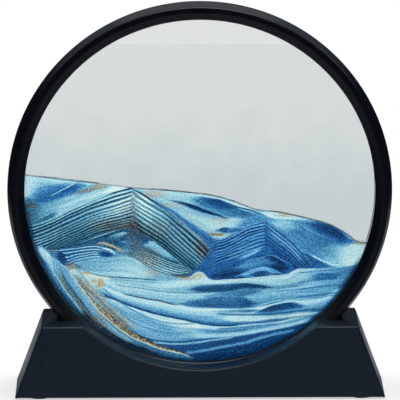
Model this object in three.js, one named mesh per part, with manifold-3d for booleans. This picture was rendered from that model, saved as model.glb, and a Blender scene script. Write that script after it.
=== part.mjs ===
// A round moving sand picture. Two glass discs in a black ring hold coloured sand and clear liquid,
// and the ring stands in the curved slot of a hollow black base, where it can be turned by hand.
// Millimetres, +Z up, front towards -Y. The origin is on the table, under the middle of the base.
import * as THREE from "three";
import { mergeVertices } from "three/addons/utils/BufferGeometryUtils.js";
import Module from "manifold-3d";

const wasm = await Module();
wasm.setup();

// Ring frame: the visible rim, from the window outwards
const WINDOW_RADIUS = 81;
const INNER_BEVEL_WIDTH = 3.4;
const INNER_BEVEL_DEPTH = 2;
const LAND_WIDTH = 2.8;
const OUTER_BEVEL_WIDTH = 1.8;
const EDGE_BAND = 2;
const SIDE_WALL = 3.3;
const LIP_THICKNESS = 0.8;

// Snap joint between the two halves of the ring
const TONGUE_WIDTH = 1;
const TONGUE_LENGTH = 1.2;

// Glass cell: what lies between the two lips
const GASKET_THICKNESS = 0.3;
const GASKET_SETBACK = 0.8;
const GLASS_THICKNESS = 1.6;
const SEAL_THICKNESS = 0.3;
const CHAMBER_DEPTH = 2.6;
const SPACER_SETBACK = 0.4;

// Fill port at the bottom of the ring, hidden in the slot
const PLUG_STEM_RADIUS = 0.5;
const PLUG_HEAD_RADIUS = 1.5;
const PLUG_HEAD_LENGTH = 0.9;
const CAP_RADIUS = 2.2;
const CAP_THICKNESS = 1.3;

// Base
const CRADLE_WALL = 11.7;
const SHOULDER_HEIGHT = 35.1;
const SHOULDER_LAND = 7;
const END_FLARE = 12.7;
const ARC_RISE = 0.3;
const ARC_CHAMFER = 0.6;
const EDGE_ROUND = 1;
const CORNER_ROUND = 1.6;
const SHELL_WALL = 1.8;
const COVER_THICKNESS = 1.6;
const COVER_HEADROOM = 1.5;
const FOOT_THICKNESS = 1;
const FOOT_RADIUS = 5.5;
const FOOT_END_INSET = 11;
const FOOT_SIDE_INSET = 8;

// Screws that hold the bottom cover
const SCREW_SHANK_RADIUS = 1.2;
const SCREW_SHANK_LENGTH = 8;
const SCREW_TIP_LENGTH = 1.2;
const SCREW_HEAD_RADIUS = 2.4;
const SCREW_HEAD_HEIGHT = 1.4;
const SCREW_RECESS_WIDTH = 0.6;
const SCREW_RECESS_LENGTH = 2.6;
const SCREW_RECESS_DEPTH = 0.7;
const SCREW_END_INSET = 20;
const SCREW_SIDE_INSET = 8;
const SCREW_SEAT = 1.2;
const SCREW_PAD_RISE = 1.4;
const BOSS_WALL = 1.8;
const PILOT_SPARE_DEPTH = 1.4;

// Clearances
const FIT_GAP = 0.3;
const SNUG_GAP = 0.2;
const CRADLE_GAP = 0.3;
const CONTENTS_GAP = 0.3;
const LAYER_GAP = 0.3;

// Facets round a full turn of the ring, of a small round piece and of a rounded corner
const RING_FACETS = 72;
const SMALL_FACETS = 20;
const CORNER_FACETS = 3;
const BEVEL_FACETS = 2;

// How far a cutter runs past the face that it opens
const OVERCUT = 1;

// Sand outlines as left to right lines of [x, z] points, in shares of the chamber's radius from the
// ring's centre, because loose sand takes up the width of whatever chamber holds it. Lines run from the
// left margin to the right margin, both just outside the chamber.
const LEFT_MARGIN_SHARE = -1.05;
const RIGHT_MARGIN_SHARE = 1.05;
const FLOOR_SHARE = -1.1;
const LIQUID_SHARE = 0.856;
const SAND_SURFACE_SHARES = [
  [LEFT_MARGIN_SHARE, 0.1], [-0.99, 0.09], [-0.69, 0.05], [-0.375, 0.015], [-0.01, -0.02], [0.195, -0.067],
  [0.372, -0.12], [0.697, -0.19], [0.799, -0.237], [0.891, -0.301], [RIGHT_MARGIN_SHARE, -0.31],
];
const RIDGE_TOPS_SHARES = [
  [LEFT_MARGIN_SHARE, -0.21], [-0.381, 0.009], [0.045, -0.45], [0.372, -0.19], [0.628, -0.453],
  [RIGHT_MARGIN_SHARE, -0.44],
];
const RIDGE_FEET_SHARES = [
  [LEFT_MARGIN_SHARE, -0.353], [-0.586, -0.353], [-0.284, -0.3125], [0.03, -0.435], [0.087, -0.517],
  [0.554, -0.4585], [RIGHT_MARGIN_SHARE, -0.4585],
];
const GOLD_LINE_SHARES = [
  [LEFT_MARGIN_SHARE, -0.353], [-0.9, -0.362], [-0.797, -0.4235], [-0.569, -0.675], [-0.426, -0.809],
  [0, -0.9725], [0.3, FLOOR_SHARE],
];
const DRIFT_FLOOR_SHARES = [...GOLD_LINE_SHARES, [RIGHT_MARGIN_SHARE, FLOOR_SHARE]];
const CHAMBER_FLOOR_SHARES = [[LEFT_MARGIN_SHARE, FLOOR_SHARE], [RIGHT_MARGIN_SHARE, FLOOR_SHARE]];
const LIQUID_LEVEL_SHARES = [[LEFT_MARGIN_SHARE, LIQUID_SHARE], [RIGHT_MARGIN_SHARE, LIQUID_SHARE]];

// Where each layer thins out along its lines, in the same shares, and the gold layer's thickness
const LEFT_DUNE_END_SHARE = -0.4;
const RIGHT_DUNE_START_SHARE = -0.36;
const LEFT_RIDGE_END_SHARE = 0;
const RIGHT_RIDGE_START_SHARE = 0.05;
const RIGHT_RIDGE_END_SHARE = 0.61;
const DRIFT_START_SHARE = -0.87;
const GOLD_END_SHARE = 0.2;
const GOLD_THICKNESS = 1.2;

// Sizes that follow from the ones above
const RING_RADIUS = WINDOW_RADIUS + INNER_BEVEL_WIDTH + LAND_WIDTH + OUTER_BEVEL_WIDTH;
const LAND_INNER_RADIUS = WINDOW_RADIUS + INNER_BEVEL_WIDTH;
const LAND_OUTER_RADIUS = RING_RADIUS - OUTER_BEVEL_WIDTH;
const REBATE_RADIUS = RING_RADIUS - SIDE_WALL;
const GLASS_RADIUS = REBATE_RADIUS - FIT_GAP;
const GLASS_BACK = CHAMBER_DEPTH / 2;
const GLASS_FRONT = GLASS_BACK + GLASS_THICKNESS;
const LIP_BACK = GLASS_FRONT + GASKET_THICKNESS;
const LIP_FRONT = LIP_BACK + LIP_THICKNESS;
const RING_HALF_DEPTH = LIP_FRONT + INNER_BEVEL_DEPTH;
const SPACER_INNER_RADIUS = WINDOW_RADIUS + SPACER_SETBACK;
const SPACER_THICKNESS = CHAMBER_DEPTH - 2 * SEAL_THICKNESS;
const CONTENTS_RADIUS = SPACER_INNER_RADIUS - CONTENTS_GAP;
const CONTENTS_DEPTH = CHAMBER_DEPTH - 2 * CONTENTS_GAP;

const SLOT_RADIUS = RING_RADIUS + CRADLE_GAP;
const SLOT_HALF_WIDTH = RING_HALF_DEPTH + CRADLE_GAP;
const ARC_RADIUS = WINDOW_RADIUS - ARC_RISE;
const BASE_HALF_DEPTH = SLOT_HALF_WIDTH + CRADLE_WALL;
const SHELL_BOTTOM = FOOT_THICKNESS;
const COVER_TOP = SHELL_BOTTOM + COVER_THICKNESS;
const SLOT_FLOOR = COVER_TOP + COVER_HEADROOM + SHELL_WALL;
const RING_HEIGHT = SLOT_FLOOR + SLOT_RADIUS;
const SLOT_HALF_LENGTH = Math.sqrt(SLOT_RADIUS ** 2 - (RING_HEIGHT - SHOULDER_HEIGHT) ** 2);
const TOP_HALF_LENGTH = SLOT_HALF_LENGTH + SHOULDER_LAND;
const BOTTOM_HALF_LENGTH = TOP_HALF_LENGTH + END_FLARE;
const SHELL_ROOF = SHOULDER_HEIGHT - SHELL_WALL;

const SCREW_PAD_TOP = COVER_TOP + SCREW_PAD_RISE;
const SCREW_SEAT_HEIGHT = SCREW_PAD_TOP - SCREW_SEAT;
const PILOT_RADIUS = SCREW_SHANK_RADIUS + SNUG_GAP;
const PILOT_TOP = SCREW_SEAT_HEIGHT + SCREW_SHANK_LENGTH + PILOT_SPARE_DEPTH;
const HEAD_RECESS_RADIUS = SCREW_HEAD_RADIUS + FIT_GAP;
const SCREW_X = BOTTOM_HALF_LENGTH - SCREW_END_INSET;
const SCREW_Y = BASE_HALF_DEPTH - SCREW_SIDE_INSET;
const FOOT_X = BOTTOM_HALF_LENGTH - FOOT_END_INSET;
const FOOT_Y = BASE_HALF_DEPTH - FOOT_SIDE_INSET;

// Corners of the base, named as they are seen from the front
const CORNERS = {
  front_left: [-1, -1],
  front_right: [1, -1],
  rear_left: [-1, 1],
  rear_right: [1, 1],
};

// A closed geometry as a solid that can be cut and joined
function solid(geometry) {
  const bare = geometry.clone();
  bare.deleteAttribute("normal");
  bare.deleteAttribute("uv");
  const merged = mergeVertices(bare);
  const corners = merged.index.array;
  const triangles = [];
  for (let i = 0; i < corners.length; i += 3) {
    const [a, b, c] = corners.slice(i, i + 3);
    if (a !== b && b !== c && c !== a) {
      triangles.push(a, b, c);
    }
  }
  return new wasm.Manifold(new wasm.Mesh({
    numProp: 3,
    vertProperties: new Float32Array(merged.attributes.position.array),
    triVerts: new Uint32Array(triangles),
  }));
}

// A cut solid as a geometry again
function geometryOf(shape) {
  const mesh = shape.getMesh();
  const geometry = new THREE.BufferGeometry();
  geometry.setAttribute("position", new THREE.BufferAttribute(mesh.vertProperties, 3));
  geometry.setIndex(new THREE.BufferAttribute(mesh.triVerts, 1));
  geometry.computeVertexNormals();
  return geometry;
}

// A ring or disc turned about the ring's axis, from a profile of [radius, y] points
function turned(profile) {
  const points = profile.map(([radius, y]) => new THREE.Vector2(radius, y));
  return solid(new THREE.LatheGeometry([...points, points[0]], RING_FACETS));
}

function flatRing(innerRadius, outerRadius, from, to) {
  return turned([[innerRadius, from], [outerRadius, from], [outerRadius, to], [innerRadius, to]]);
}

function disc(radius, from, to) {
  const geometry = new THREE.CylinderGeometry(radius, radius, to - from, RING_FACETS);
  return solid(geometry.translate(0, (from + to) / 2, 0));
}

// An upright round piece, from a profile of [radius, z] points that starts and ends on its axis
function upright(profile) {
  const points = profile.map(([radius, z]) => new THREE.Vector2(radius, z));
  return solid(new THREE.LatheGeometry(points, SMALL_FACETS).rotateX(Math.PI / 2));
}

function post(radius, from, to) {
  return upright([[0, from], [radius, from], [radius, to], [0, to]]);
}

function block(width, depth, height) {
  return solid(new THREE.BoxGeometry(width, depth, height));
}

// An outline of [x, z] points, pushed through the depth of the object and centred on it
function slab(outline, depth) {
  const shape = new THREE.Shape(outline.map(([x, z]) => new THREE.Vector2(x, z)));
  const geometry = new THREE.ExtrudeGeometry(shape, { depth, bevelEnabled: false });
  return solid(geometry.translate(0, 0, -depth / 2).rotateX(Math.PI / 2));
}

// One half of the ring: side is -1 for the front half and 1 for the rear half. They meet on the middle
// plane, where the front half has a tongue and the rear half the groove that takes it.
function bezelHalf(side) {
  const wallMiddle = RING_RADIUS - SIDE_WALL / 2;
  const spare = side > 0 ? SNUG_GAP : 0;
  const jointHalf = TONGUE_WIDTH / 2 + spare;
  const jointReach = TONGUE_LENGTH + spare;
  const profile = [
    [REBATE_RADIUS, 0],
    [wallMiddle - jointHalf, 0],
    [wallMiddle - jointHalf, jointReach],
    [wallMiddle + jointHalf, jointReach],
    [wallMiddle + jointHalf, 0],
    [RING_RADIUS, 0],
    [RING_RADIUS, side * EDGE_BAND / 2],
    [LAND_OUTER_RADIUS, side * RING_HALF_DEPTH],
    [LAND_INNER_RADIUS, side * RING_HALF_DEPTH],
    [WINDOW_RADIUS, side * LIP_FRONT],
    [WINDOW_RADIUS, side * LIP_BACK],
    [REBATE_RADIUS, side * LIP_BACK],
  ];
  return turned(side > 0 ? profile : profile.reverse());
}

// Fill port: a stepped hole that leads down out of the chamber, through spacer and ring
const PORT_CAP_TOP = REBATE_RADIUS + PLUG_HEAD_LENGTH;
const portCut = post(PLUG_HEAD_RADIUS + SNUG_GAP, -PORT_CAP_TOP - OVERCUT, -GLASS_RADIUS)
  .add(post(CAP_RADIUS + SNUG_GAP, -RING_RADIUS - OVERCUT, -PORT_CAP_TOP));
const stemCut = post(PLUG_STEM_RADIUS + SNUG_GAP, -GLASS_RADIUS - OVERCUT, -SPACER_INNER_RADIUS + OVERCUT);
const fillPlug = upright([
  [0, -PORT_CAP_TOP],
  [PLUG_HEAD_RADIUS, -PORT_CAP_TOP],
  [PLUG_HEAD_RADIUS, -REBATE_RADIUS],
  [PLUG_STEM_RADIUS, -REBATE_RADIUS],
  [PLUG_STEM_RADIUS, -SPACER_INNER_RADIUS],
  [0, -SPACER_INNER_RADIUS],
]);
const portCap = post(CAP_RADIUS, -PORT_CAP_TOP - CAP_THICKNESS, -PORT_CAP_TOP);

// Height of a left to right line at one place, by straight steps between its points
function heightAt(line, x) {
  const next = line.findIndex(([px]) => px >= x);
  const [x1, z1] = line[Math.max(next, 1)];
  const [x0, z0] = line[Math.max(next, 1) - 1];
  return z0 + (z1 - z0) * (x - x0) / (x1 - x0);
}

// The stretch of a line between two places, in millimetres and lifted by a distance
function stretch(line, from, to, lift) {
  const inside = line.filter(([x]) => x > from && x < to);
  const ends = [from, to].map((x) => [x, heightAt(line, x)]);
  const points = [ends[0], ...inside, ends[1]];
  return points.map(([x, z]) => [x * CONTENTS_RADIUS, z * CONTENTS_RADIUS + lift]);
}

// What fills the chamber between two lines, from one place to another along them
function layer(top, foot, from, to, topLift = -LAYER_GAP / 2, footLift = LAYER_GAP / 2) {
  const upper = stretch(top, from, to, topLift);
  const lower = stretch(foot, from, to, footLift);
  const filling = slab([...lower, ...upper.reverse()], CONTENTS_DEPTH);
  return filling.intersect(disc(CONTENTS_RADIUS, -CONTENTS_DEPTH / 2, CONTENTS_DEPTH / 2));
}

const goldFoot = -GOLD_THICKNESS - LAYER_GAP / 2;
const contents = {
  liquid: layer(LIQUID_LEVEL_SHARES, SAND_SURFACE_SHARES, LEFT_MARGIN_SHARE, RIGHT_MARGIN_SHARE, 0),
  sand_left_dune: layer(SAND_SURFACE_SHARES, RIDGE_TOPS_SHARES, LEFT_MARGIN_SHARE, LEFT_DUNE_END_SHARE),
  sand_right_dune: layer(
    SAND_SURFACE_SHARES, RIDGE_TOPS_SHARES, RIGHT_DUNE_START_SHARE, RIGHT_MARGIN_SHARE,
  ),
  sand_left_ridge: layer(RIDGE_TOPS_SHARES, RIDGE_FEET_SHARES, LEFT_MARGIN_SHARE, LEFT_RIDGE_END_SHARE),
  sand_right_ridge: layer(
    RIDGE_TOPS_SHARES, RIDGE_FEET_SHARES, RIGHT_RIDGE_START_SHARE, RIGHT_RIDGE_END_SHARE,
  ),
  sand_drift: layer(RIDGE_FEET_SHARES, DRIFT_FLOOR_SHARES, DRIFT_START_SHARE, RIGHT_MARGIN_SHARE),
  sand_gold_vein: layer(
    GOLD_LINE_SHARES, GOLD_LINE_SHARES, LEFT_MARGIN_SHARE, GOLD_END_SHARE, -LAYER_GAP / 2, goldFoot,
  ),
  sand_bed: layer(
    GOLD_LINE_SHARES, CHAMBER_FLOOR_SHARES, LEFT_MARGIN_SHARE, GOLD_END_SHARE, goldFoot - LAYER_GAP,
  ),
};

// Half length of the base at a height, measured to its sloping ends
function endAt(z) {
  const rise = (z - SHELL_BOTTOM) / (SHOULDER_HEIGHT - SHELL_BOTTOM);
  return BOTTOM_HALF_LENGTH - END_FLARE * rise;
}

// The four-sided outline of the base between two heights, held in from its ends by a distance
function baseOutline(from, to, inset) {
  const low = endAt(from) - inset;
  const high = endAt(to) - inset;
  return [[-low, from], [low, from], [high, to], [-high, to]];
}

// Outer form of the base: sloping ends, rounded shoulders and rounded edges
function baseForm() {
  const [lowLeft, lowRight, highRight, highLeft] = baseOutline(SHELL_BOTTOM, SHOULDER_HEIGHT, 0);
  const slope = END_FLARE / (SHOULDER_HEIGHT - SHELL_BOTTOM);
  const run = CORNER_ROUND / Math.hypot(1, slope);
  const shape = new THREE.Shape();
  shape.moveTo(...lowLeft);
  shape.lineTo(...lowRight);
  shape.lineTo(highRight[0] + run * slope, highRight[1] - run);
  shape.quadraticCurveTo(...highRight, highRight[0] - CORNER_ROUND, highRight[1]);
  shape.lineTo(highLeft[0] + CORNER_ROUND, highLeft[1]);
  shape.quadraticCurveTo(...highLeft, highLeft[0] - run * slope, highLeft[1] - run);
  const geometry = new THREE.ExtrudeGeometry(shape, {
    depth: 2 * (BASE_HALF_DEPTH - EDGE_ROUND),
    bevelThickness: EDGE_ROUND,
    bevelSize: EDGE_ROUND,
    bevelOffset: -EDGE_ROUND,
    bevelSegments: BEVEL_FACETS,
    curveSegments: CORNER_FACETS,
  });
  return solid(geometry.translate(0, 0, EDGE_ROUND - BASE_HALF_DEPTH).rotateX(Math.PI / 2));
}

// The arc that both cradle walls share, opened out by a chamfer where it meets the outer faces
function arcCut() {
  const mouth = BASE_HALF_DEPTH + OVERCUT;
  const flare = ARC_RADIUS + ARC_CHAMFER + OVERCUT;
  return turned([
    [0, -mouth], [flare, -mouth], [ARC_RADIUS, ARC_CHAMFER - BASE_HALF_DEPTH],
    [ARC_RADIUS, BASE_HALF_DEPTH - ARC_CHAMFER], [flare, mouth], [0, mouth],
  ]);
}

// Copies of a solid at the base's four corners, as one solid
function atCorners(shape, x, y) {
  const copies = Object.values(CORNERS).map(([sx, sy]) => shape.translate([sx * x, sy * y, 0]));
  return copies.reduce((all, copy) => all.add(copy));
}

// Hollow of the base: an even wall is left under the shoulders, the arcs and the slot, and a post of
// material for each screw
function baseHollow() {
  const outline = baseOutline(SHELL_BOTTOM - OVERCUT, SHELL_ROOF, SHELL_WALL);
  const inside = slab(outline, 2 * (BASE_HALF_DEPTH - SHELL_WALL));
  const underArcs = disc(ARC_RADIUS + SHELL_WALL, -BASE_HALF_DEPTH, BASE_HALF_DEPTH);
  const trayHalf = SLOT_HALF_WIDTH + SHELL_WALL;
  const tray = disc(SLOT_RADIUS + SHELL_WALL, -trayHalf, trayHalf);
  const boss = post(PILOT_RADIUS + BOSS_WALL, SCREW_PAD_TOP, SHOULDER_HEIGHT);
  return inside
    .subtract(underArcs.add(tray).translate([0, 0, RING_HEIGHT]))
    .subtract(atCorners(boss, SCREW_X, SCREW_Y));
}

function baseShell() {
  const slot = disc(SLOT_RADIUS, -SLOT_HALF_WIDTH, SLOT_HALF_WIDTH);
  const opening = slot.add(arcCut()).translate([0, 0, RING_HEIGHT]);
  const pilot = post(PILOT_RADIUS, SCREW_PAD_TOP - OVERCUT, PILOT_TOP);
  return baseForm()
    .subtract(baseHollow())
    .subtract(opening)
    .subtract(atCorners(pilot, SCREW_X, SCREW_Y));
}

function baseCover() {
  const outline = baseOutline(SHELL_BOTTOM, COVER_TOP, SHELL_WALL + FIT_GAP);
  const plate = slab(outline, 2 * (BASE_HALF_DEPTH - SHELL_WALL - FIT_GAP));
  const pad = post(PILOT_RADIUS + BOSS_WALL, SHELL_BOTTOM, SCREW_PAD_TOP);
  const screwCut = post(HEAD_RECESS_RADIUS, SHELL_BOTTOM - OVERCUT, SCREW_SEAT_HEIGHT)
    .add(post(PILOT_RADIUS, SHELL_BOTTOM, SCREW_PAD_TOP + OVERCUT));
  return plate
    .add(atCorners(pad, SCREW_X, SCREW_Y))
    .subtract(atCorners(screwCut, SCREW_X, SCREW_Y));
}

// A self-tapping screw, point up, with a cross recess in the underside of its head
function coverScrew() {
  const headBottom = SCREW_SEAT_HEIGHT - SCREW_HEAD_HEIGHT;
  const tip = SCREW_SEAT_HEIGHT + SCREW_SHANK_LENGTH;
  const body = upright([
    [0, headBottom],
    [SCREW_HEAD_RADIUS, headBottom],
    [SCREW_HEAD_RADIUS, SCREW_SEAT_HEIGHT],
    [SCREW_SHANK_RADIUS, SCREW_SEAT_HEIGHT],
    [SCREW_SHANK_RADIUS, tip - SCREW_TIP_LENGTH],
    [0, tip],
  ]);
  const bar = block(SCREW_RECESS_LENGTH, SCREW_RECESS_WIDTH, 2 * SCREW_RECESS_DEPTH);
  const cross = bar.add(bar.rotate([0, 0, 90]));
  return body.subtract(cross.translate([0, 0, headBottom]));
}

// Finishes: colour, roughness, metalness
const FINISHES = {
  ring: [0x14181f, 0.28, 0],
  base: [0x1a222d, 0.35, 0],
  cover: [0x15191f, 0.6, 0],
  rubber: [0x101114, 0.85, 0],
  steel: [0xa9adb3, 0.35, 1],
  seal: [0x0d0f12, 0.7, 0],
  glass: [0xe9f0f1, 0.03, 0],
  liquid: [0xdde5e7, 0.05, 0],
  paleSand: [0xa9cfe3, 0.9, 0],
  darkSand: [0x1f4a63, 0.9, 0],
  blueSand: [0x2d6aa8, 0.9, 0],
  whiteSand: [0xd9e8ef, 0.9, 0],
  goldSand: [0xb89a5e, 0.6, 0.2],
};

function piece(name, shape, finish) {
  const [color, roughness, metalness] = FINISHES[finish];
  const material = new THREE.MeshStandardMaterial({ color, roughness, metalness });
  const mesh = new THREE.Mesh(geometryOf(shape), material);
  mesh.name = name;
  return mesh;
}

// Base group, in the object's own frame
const base = new THREE.Group();
base.add(piece("base_shell", baseShell(), "base"));
base.add(piece("base_cover", baseCover(), "cover"));
for (const [corner, [sx, sy]] of Object.entries(CORNERS)) {
  const screw = piece(`cover_screw_${corner}`, coverScrew(), "steel");
  screw.position.set(sx * SCREW_X, sy * SCREW_Y, 0);
  const foot = piece(`foot_pad_${corner}`, post(FOOT_RADIUS, 0, FOOT_THICKNESS), "rubber");
  foot.position.set(sx * FOOT_X, sy * FOOT_Y, 0);
  base.add(screw, foot);
}

// Ring group, about the ring's centre
const ring = new THREE.Group();
ring.position.set(0, 0, RING_HEIGHT);
for (const [end, side] of [["front", -1], ["rear", 1]]) {
  const between = (a, b) => [Math.min(side * a, side * b), Math.max(side * a, side * b)];
  const gasket = flatRing(WINDOW_RADIUS + GASKET_SETBACK, GLASS_RADIUS, ...between(GLASS_FRONT, LIP_BACK));
  const seal = flatRing(SPACER_INNER_RADIUS, GLASS_RADIUS, ...between(SPACER_THICKNESS / 2, GLASS_BACK));
  ring.add(piece(`${end}_bezel`, bezelHalf(side).subtract(portCut), "ring"));
  ring.add(piece(`${end}_gasket`, gasket, "rubber"));
  ring.add(piece(`${end}_glass`, disc(GLASS_RADIUS, ...between(GLASS_BACK, GLASS_FRONT)), "glass"));
  ring.add(piece(`${end}_seal`, seal, "seal"));
}
const spacer = flatRing(SPACER_INNER_RADIUS, GLASS_RADIUS, -SPACER_THICKNESS / 2, SPACER_THICKNESS / 2);
ring.add(piece("spacer_ring", spacer.subtract(stemCut), "seal"));
ring.add(piece("fill_plug", fillPlug, "rubber"));
ring.add(piece("port_cap", portCap, "ring"));

// What the chamber holds
const CONTENTS_FINISH = {
  liquid: "liquid",
  sand_left_dune: "paleSand",
  sand_right_dune: "paleSand",
  sand_left_ridge: "darkSand",
  sand_right_ridge: "blueSand",
  sand_drift: "whiteSand",
  sand_gold_vein: "goldSand",
  sand_bed: "blueSand",
};
for (const [name, shape] of Object.entries(contents)) {
  ring.add(piece(name, shape, CONTENTS_FINISH[name]));
}

const sandPicture = new THREE.Group();
sandPicture.add(base, ring);
export default sandPicture;
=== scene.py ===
# %% [markdown]
# # A moving sand picture
# The object is a black ring that holds two discs of glass with coloured sand and clear liquid between
# them. The ring stands in the curved slot of a black base. This lesson dresses the measured model of that
# object: it loads the model, sets up a small studio, and then makes each piece in turn.

# %% Load the measured model
import math

import bmesh
import bpy
import numpy as np
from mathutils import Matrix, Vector


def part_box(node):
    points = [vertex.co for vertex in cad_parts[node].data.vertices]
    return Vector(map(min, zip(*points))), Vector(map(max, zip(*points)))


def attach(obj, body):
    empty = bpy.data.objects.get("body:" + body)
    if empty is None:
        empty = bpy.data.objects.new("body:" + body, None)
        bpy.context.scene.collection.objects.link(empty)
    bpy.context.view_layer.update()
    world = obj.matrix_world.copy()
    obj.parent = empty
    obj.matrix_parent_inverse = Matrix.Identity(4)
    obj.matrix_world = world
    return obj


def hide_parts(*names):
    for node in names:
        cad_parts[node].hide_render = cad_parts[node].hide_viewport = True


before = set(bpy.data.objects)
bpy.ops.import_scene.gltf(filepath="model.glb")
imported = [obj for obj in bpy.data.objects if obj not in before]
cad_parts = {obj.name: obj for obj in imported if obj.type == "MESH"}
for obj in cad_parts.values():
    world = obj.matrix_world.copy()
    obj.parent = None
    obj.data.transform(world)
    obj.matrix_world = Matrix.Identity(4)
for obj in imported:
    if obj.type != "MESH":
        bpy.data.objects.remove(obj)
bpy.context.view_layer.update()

MM = 0.001

# %% [markdown]
# ## Sizes
# A piece that is made again here has to fit the model it stands for. The main sizes are read from the boxes
# of the model's own nodes, so that they follow it. The small steps inside the ring and the base can't be
# read from a box, so they are written down, in millimetres.


# %% Main sizes, in millimetres
def node_box(name):
    low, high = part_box(name)
    return [value / MM for value in low], [value / MM for value in high]


ring_low, ring_high = node_box("front_bezel")
base_low, base_high = node_box("base_shell")
_, sand_high = node_box("liquid")

RING_RADIUS = ring_high[0]
RING_HEIGHT = ring_high[2] - RING_RADIUS
RING_HALF_DEPTH = -ring_low[1]
BASE_HALF_LENGTH = base_high[0]
BASE_HALF_DEPTH = base_high[1]
BASE_BOTTOM = base_low[2]
SHOULDER_HEIGHT = base_high[2]
SAND_HALF_DEPTH = sand_high[1]
LIQUID_LEVEL = sand_high[2] - RING_HEIGHT

WINDOW_RADIUS = 81.0
CHAMBER_RADIUS = 81.1
print("ring radius", RING_RADIUS, "centre height", RING_HEIGHT, "base half length", BASE_HALF_LENGTH)

# %% [markdown]
# ## Camera
# The photograph was taken from nearly straight ahead and a little above, with a long lens: the left end of
# the base shows a trace more than the right end, and the top faces of the base are only just visible. A long
# lens from two metres gives the same flat look. The aim is a little under the middle of the ring.

# %% Camera
CAMERA_DISTANCE = 2.05
CAMERA_ELEVATION = math.radians(12.6)
CAMERA_TURN = math.radians(0.7)
CAMERA_FIELD = 0.1851
CAMERA_AIM = Vector((0.0001, 0, 0.0909))

camera_data = bpy.data.cameras.new("camera")
camera_data.sensor_width = 36
camera_data.lens = camera_data.sensor_width * CAMERA_DISTANCE / CAMERA_FIELD
camera_data.clip_end = 20
camera = bpy.data.objects.new("camera", camera_data)
bpy.context.scene.collection.objects.link(camera)
level_share = math.cos(CAMERA_ELEVATION)
toward_camera = Vector((-math.sin(CAMERA_TURN) * level_share, -math.cos(CAMERA_TURN) * level_share, 0))
toward_camera.z = math.sin(CAMERA_ELEVATION)
camera.location = CAMERA_AIM + toward_camera * CAMERA_DISTANCE
camera.rotation_euler = (-toward_camera).to_track_quat("-Z", "Y").to_euler()
bpy.context.scene.camera = camera
bpy.context.scene.view_settings.view_transform = "Standard"
print("lens", round(camera_data.lens), "mm, camera at", camera.location)

# %% [markdown]
# ## Building blocks for materials
# A material is a small graph of nodes. These helpers keep each graph short: one adds a node, one gives a
# grain pattern that stays fixed to the piece, one stretches a pattern to a range of numbers and one turns it
# into colours. Colours are written as the usual 0 to 255 screen values and turned into light values.


# %% Colours
def light_value(screen):
    share = screen / 255
    return share / 12.92 if share <= 0.04045 else ((share + 0.055) / 1.055) ** 2.4


def colour(red, green, blue):
    return (light_value(red), light_value(green), light_value(blue), 1)


print("the middle grey of a screen has a light value of", round(light_value(128), 3))


# %% Nodes of a material
def new_material(name):
    material = bpy.data.materials.new(name)
    material.use_nodes = True
    tree = material.node_tree
    return material, tree, tree.nodes["Principled BSDF"]


def add(tree, kind, inputs=None, **settings):
    node = tree.nodes.new("ShaderNode" + kind)
    for key, value in settings.items():
        setattr(node, key, value)
    for key, value in (inputs or {}).items():
        if isinstance(value, bpy.types.NodeSocket):
            tree.links.new(value, node.inputs[key])
        else:
            node.inputs[key].default_value = value
    return node


def place(tree):
    return add(tree, "TexCoord").outputs["Object"]


print("new nodes can be added to a material")


# %% Patterns of a material
def grain(tree, size_mm, detail=2):
    inputs = {"Vector": place(tree), "Scale": 1 / (size_mm * MM), "Detail": detail}
    return add(tree, "TexNoise", inputs).outputs["Fac"]


def spread(tree, value, low, high, start=0.3, end=0.7):
    inputs = {"Value": value, "From Min": start, "From Max": end, "To Min": low, "To Max": high}
    return add(tree, "MapRange", inputs).outputs["Result"]


def ramp(tree, value, stops):
    node = add(tree, "ValToRGB", {"Fac": value})
    elements = node.color_ramp.elements
    while len(elements) < len(stops):
        elements.new(1)
    for element, (position, tint) in zip(elements, stops):
        element.position = position
        element.color = tint
    return node.outputs["Color"]


def bump(tree, shader, height, distance_mm, strength):
    inputs = {"Height": height, "Distance": distance_mm * MM, "Strength": strength}
    tree.links.new(add(tree, "Bump", inputs).outputs["Normal"], shader.inputs["Normal"])


print("patterns ready: grain, spread, ramp and bump")

# %% [markdown]
# ## Studio
# The photograph has a plain white ground. Here a white table stands in a dim room with a pale ceiling, and
# the camera sees clean white with only a trace of the object's shadow near the base. A large lamp in front
# lights the sand, with a weak one overhead and a small one at the upper right. Black plastic is judged by
# what it mirrors, so the table has its own levels for mirrored light: low in front of the object, brighter
# a little way behind it, and low again beside it and further back.

# %% Table
TABLE_HALF_WIDTH = 0.32
TABLE_FRONT = -0.38
TABLE_BACK = 0.75

table_mesh = bpy.data.meshes.new("table")
table_corners = [(-TABLE_HALF_WIDTH, TABLE_FRONT, 0), (TABLE_HALF_WIDTH, TABLE_FRONT, 0)]
table_corners += [(TABLE_HALF_WIDTH, TABLE_BACK, 0), (-TABLE_HALF_WIDTH, TABLE_BACK, 0)]
table_mesh.from_pydata(table_corners, [], [(0, 1, 2, 3)])
table = bpy.data.objects.new("table", table_mesh)
bpy.context.scene.collection.objects.link(table)
print("table", 2 * TABLE_HALF_WIDTH, "m wide and", TABLE_BACK - TABLE_FRONT, "m deep")

# %% Table as the camera sees it
PAPER_TONE = 0.75
SHADOW_LEVEL = 0.55
SHADOW_START = 0.05
SHADOW_END = 0.066
SHADOW_SHAPE = (0.55, 1.3, 1)

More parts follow.
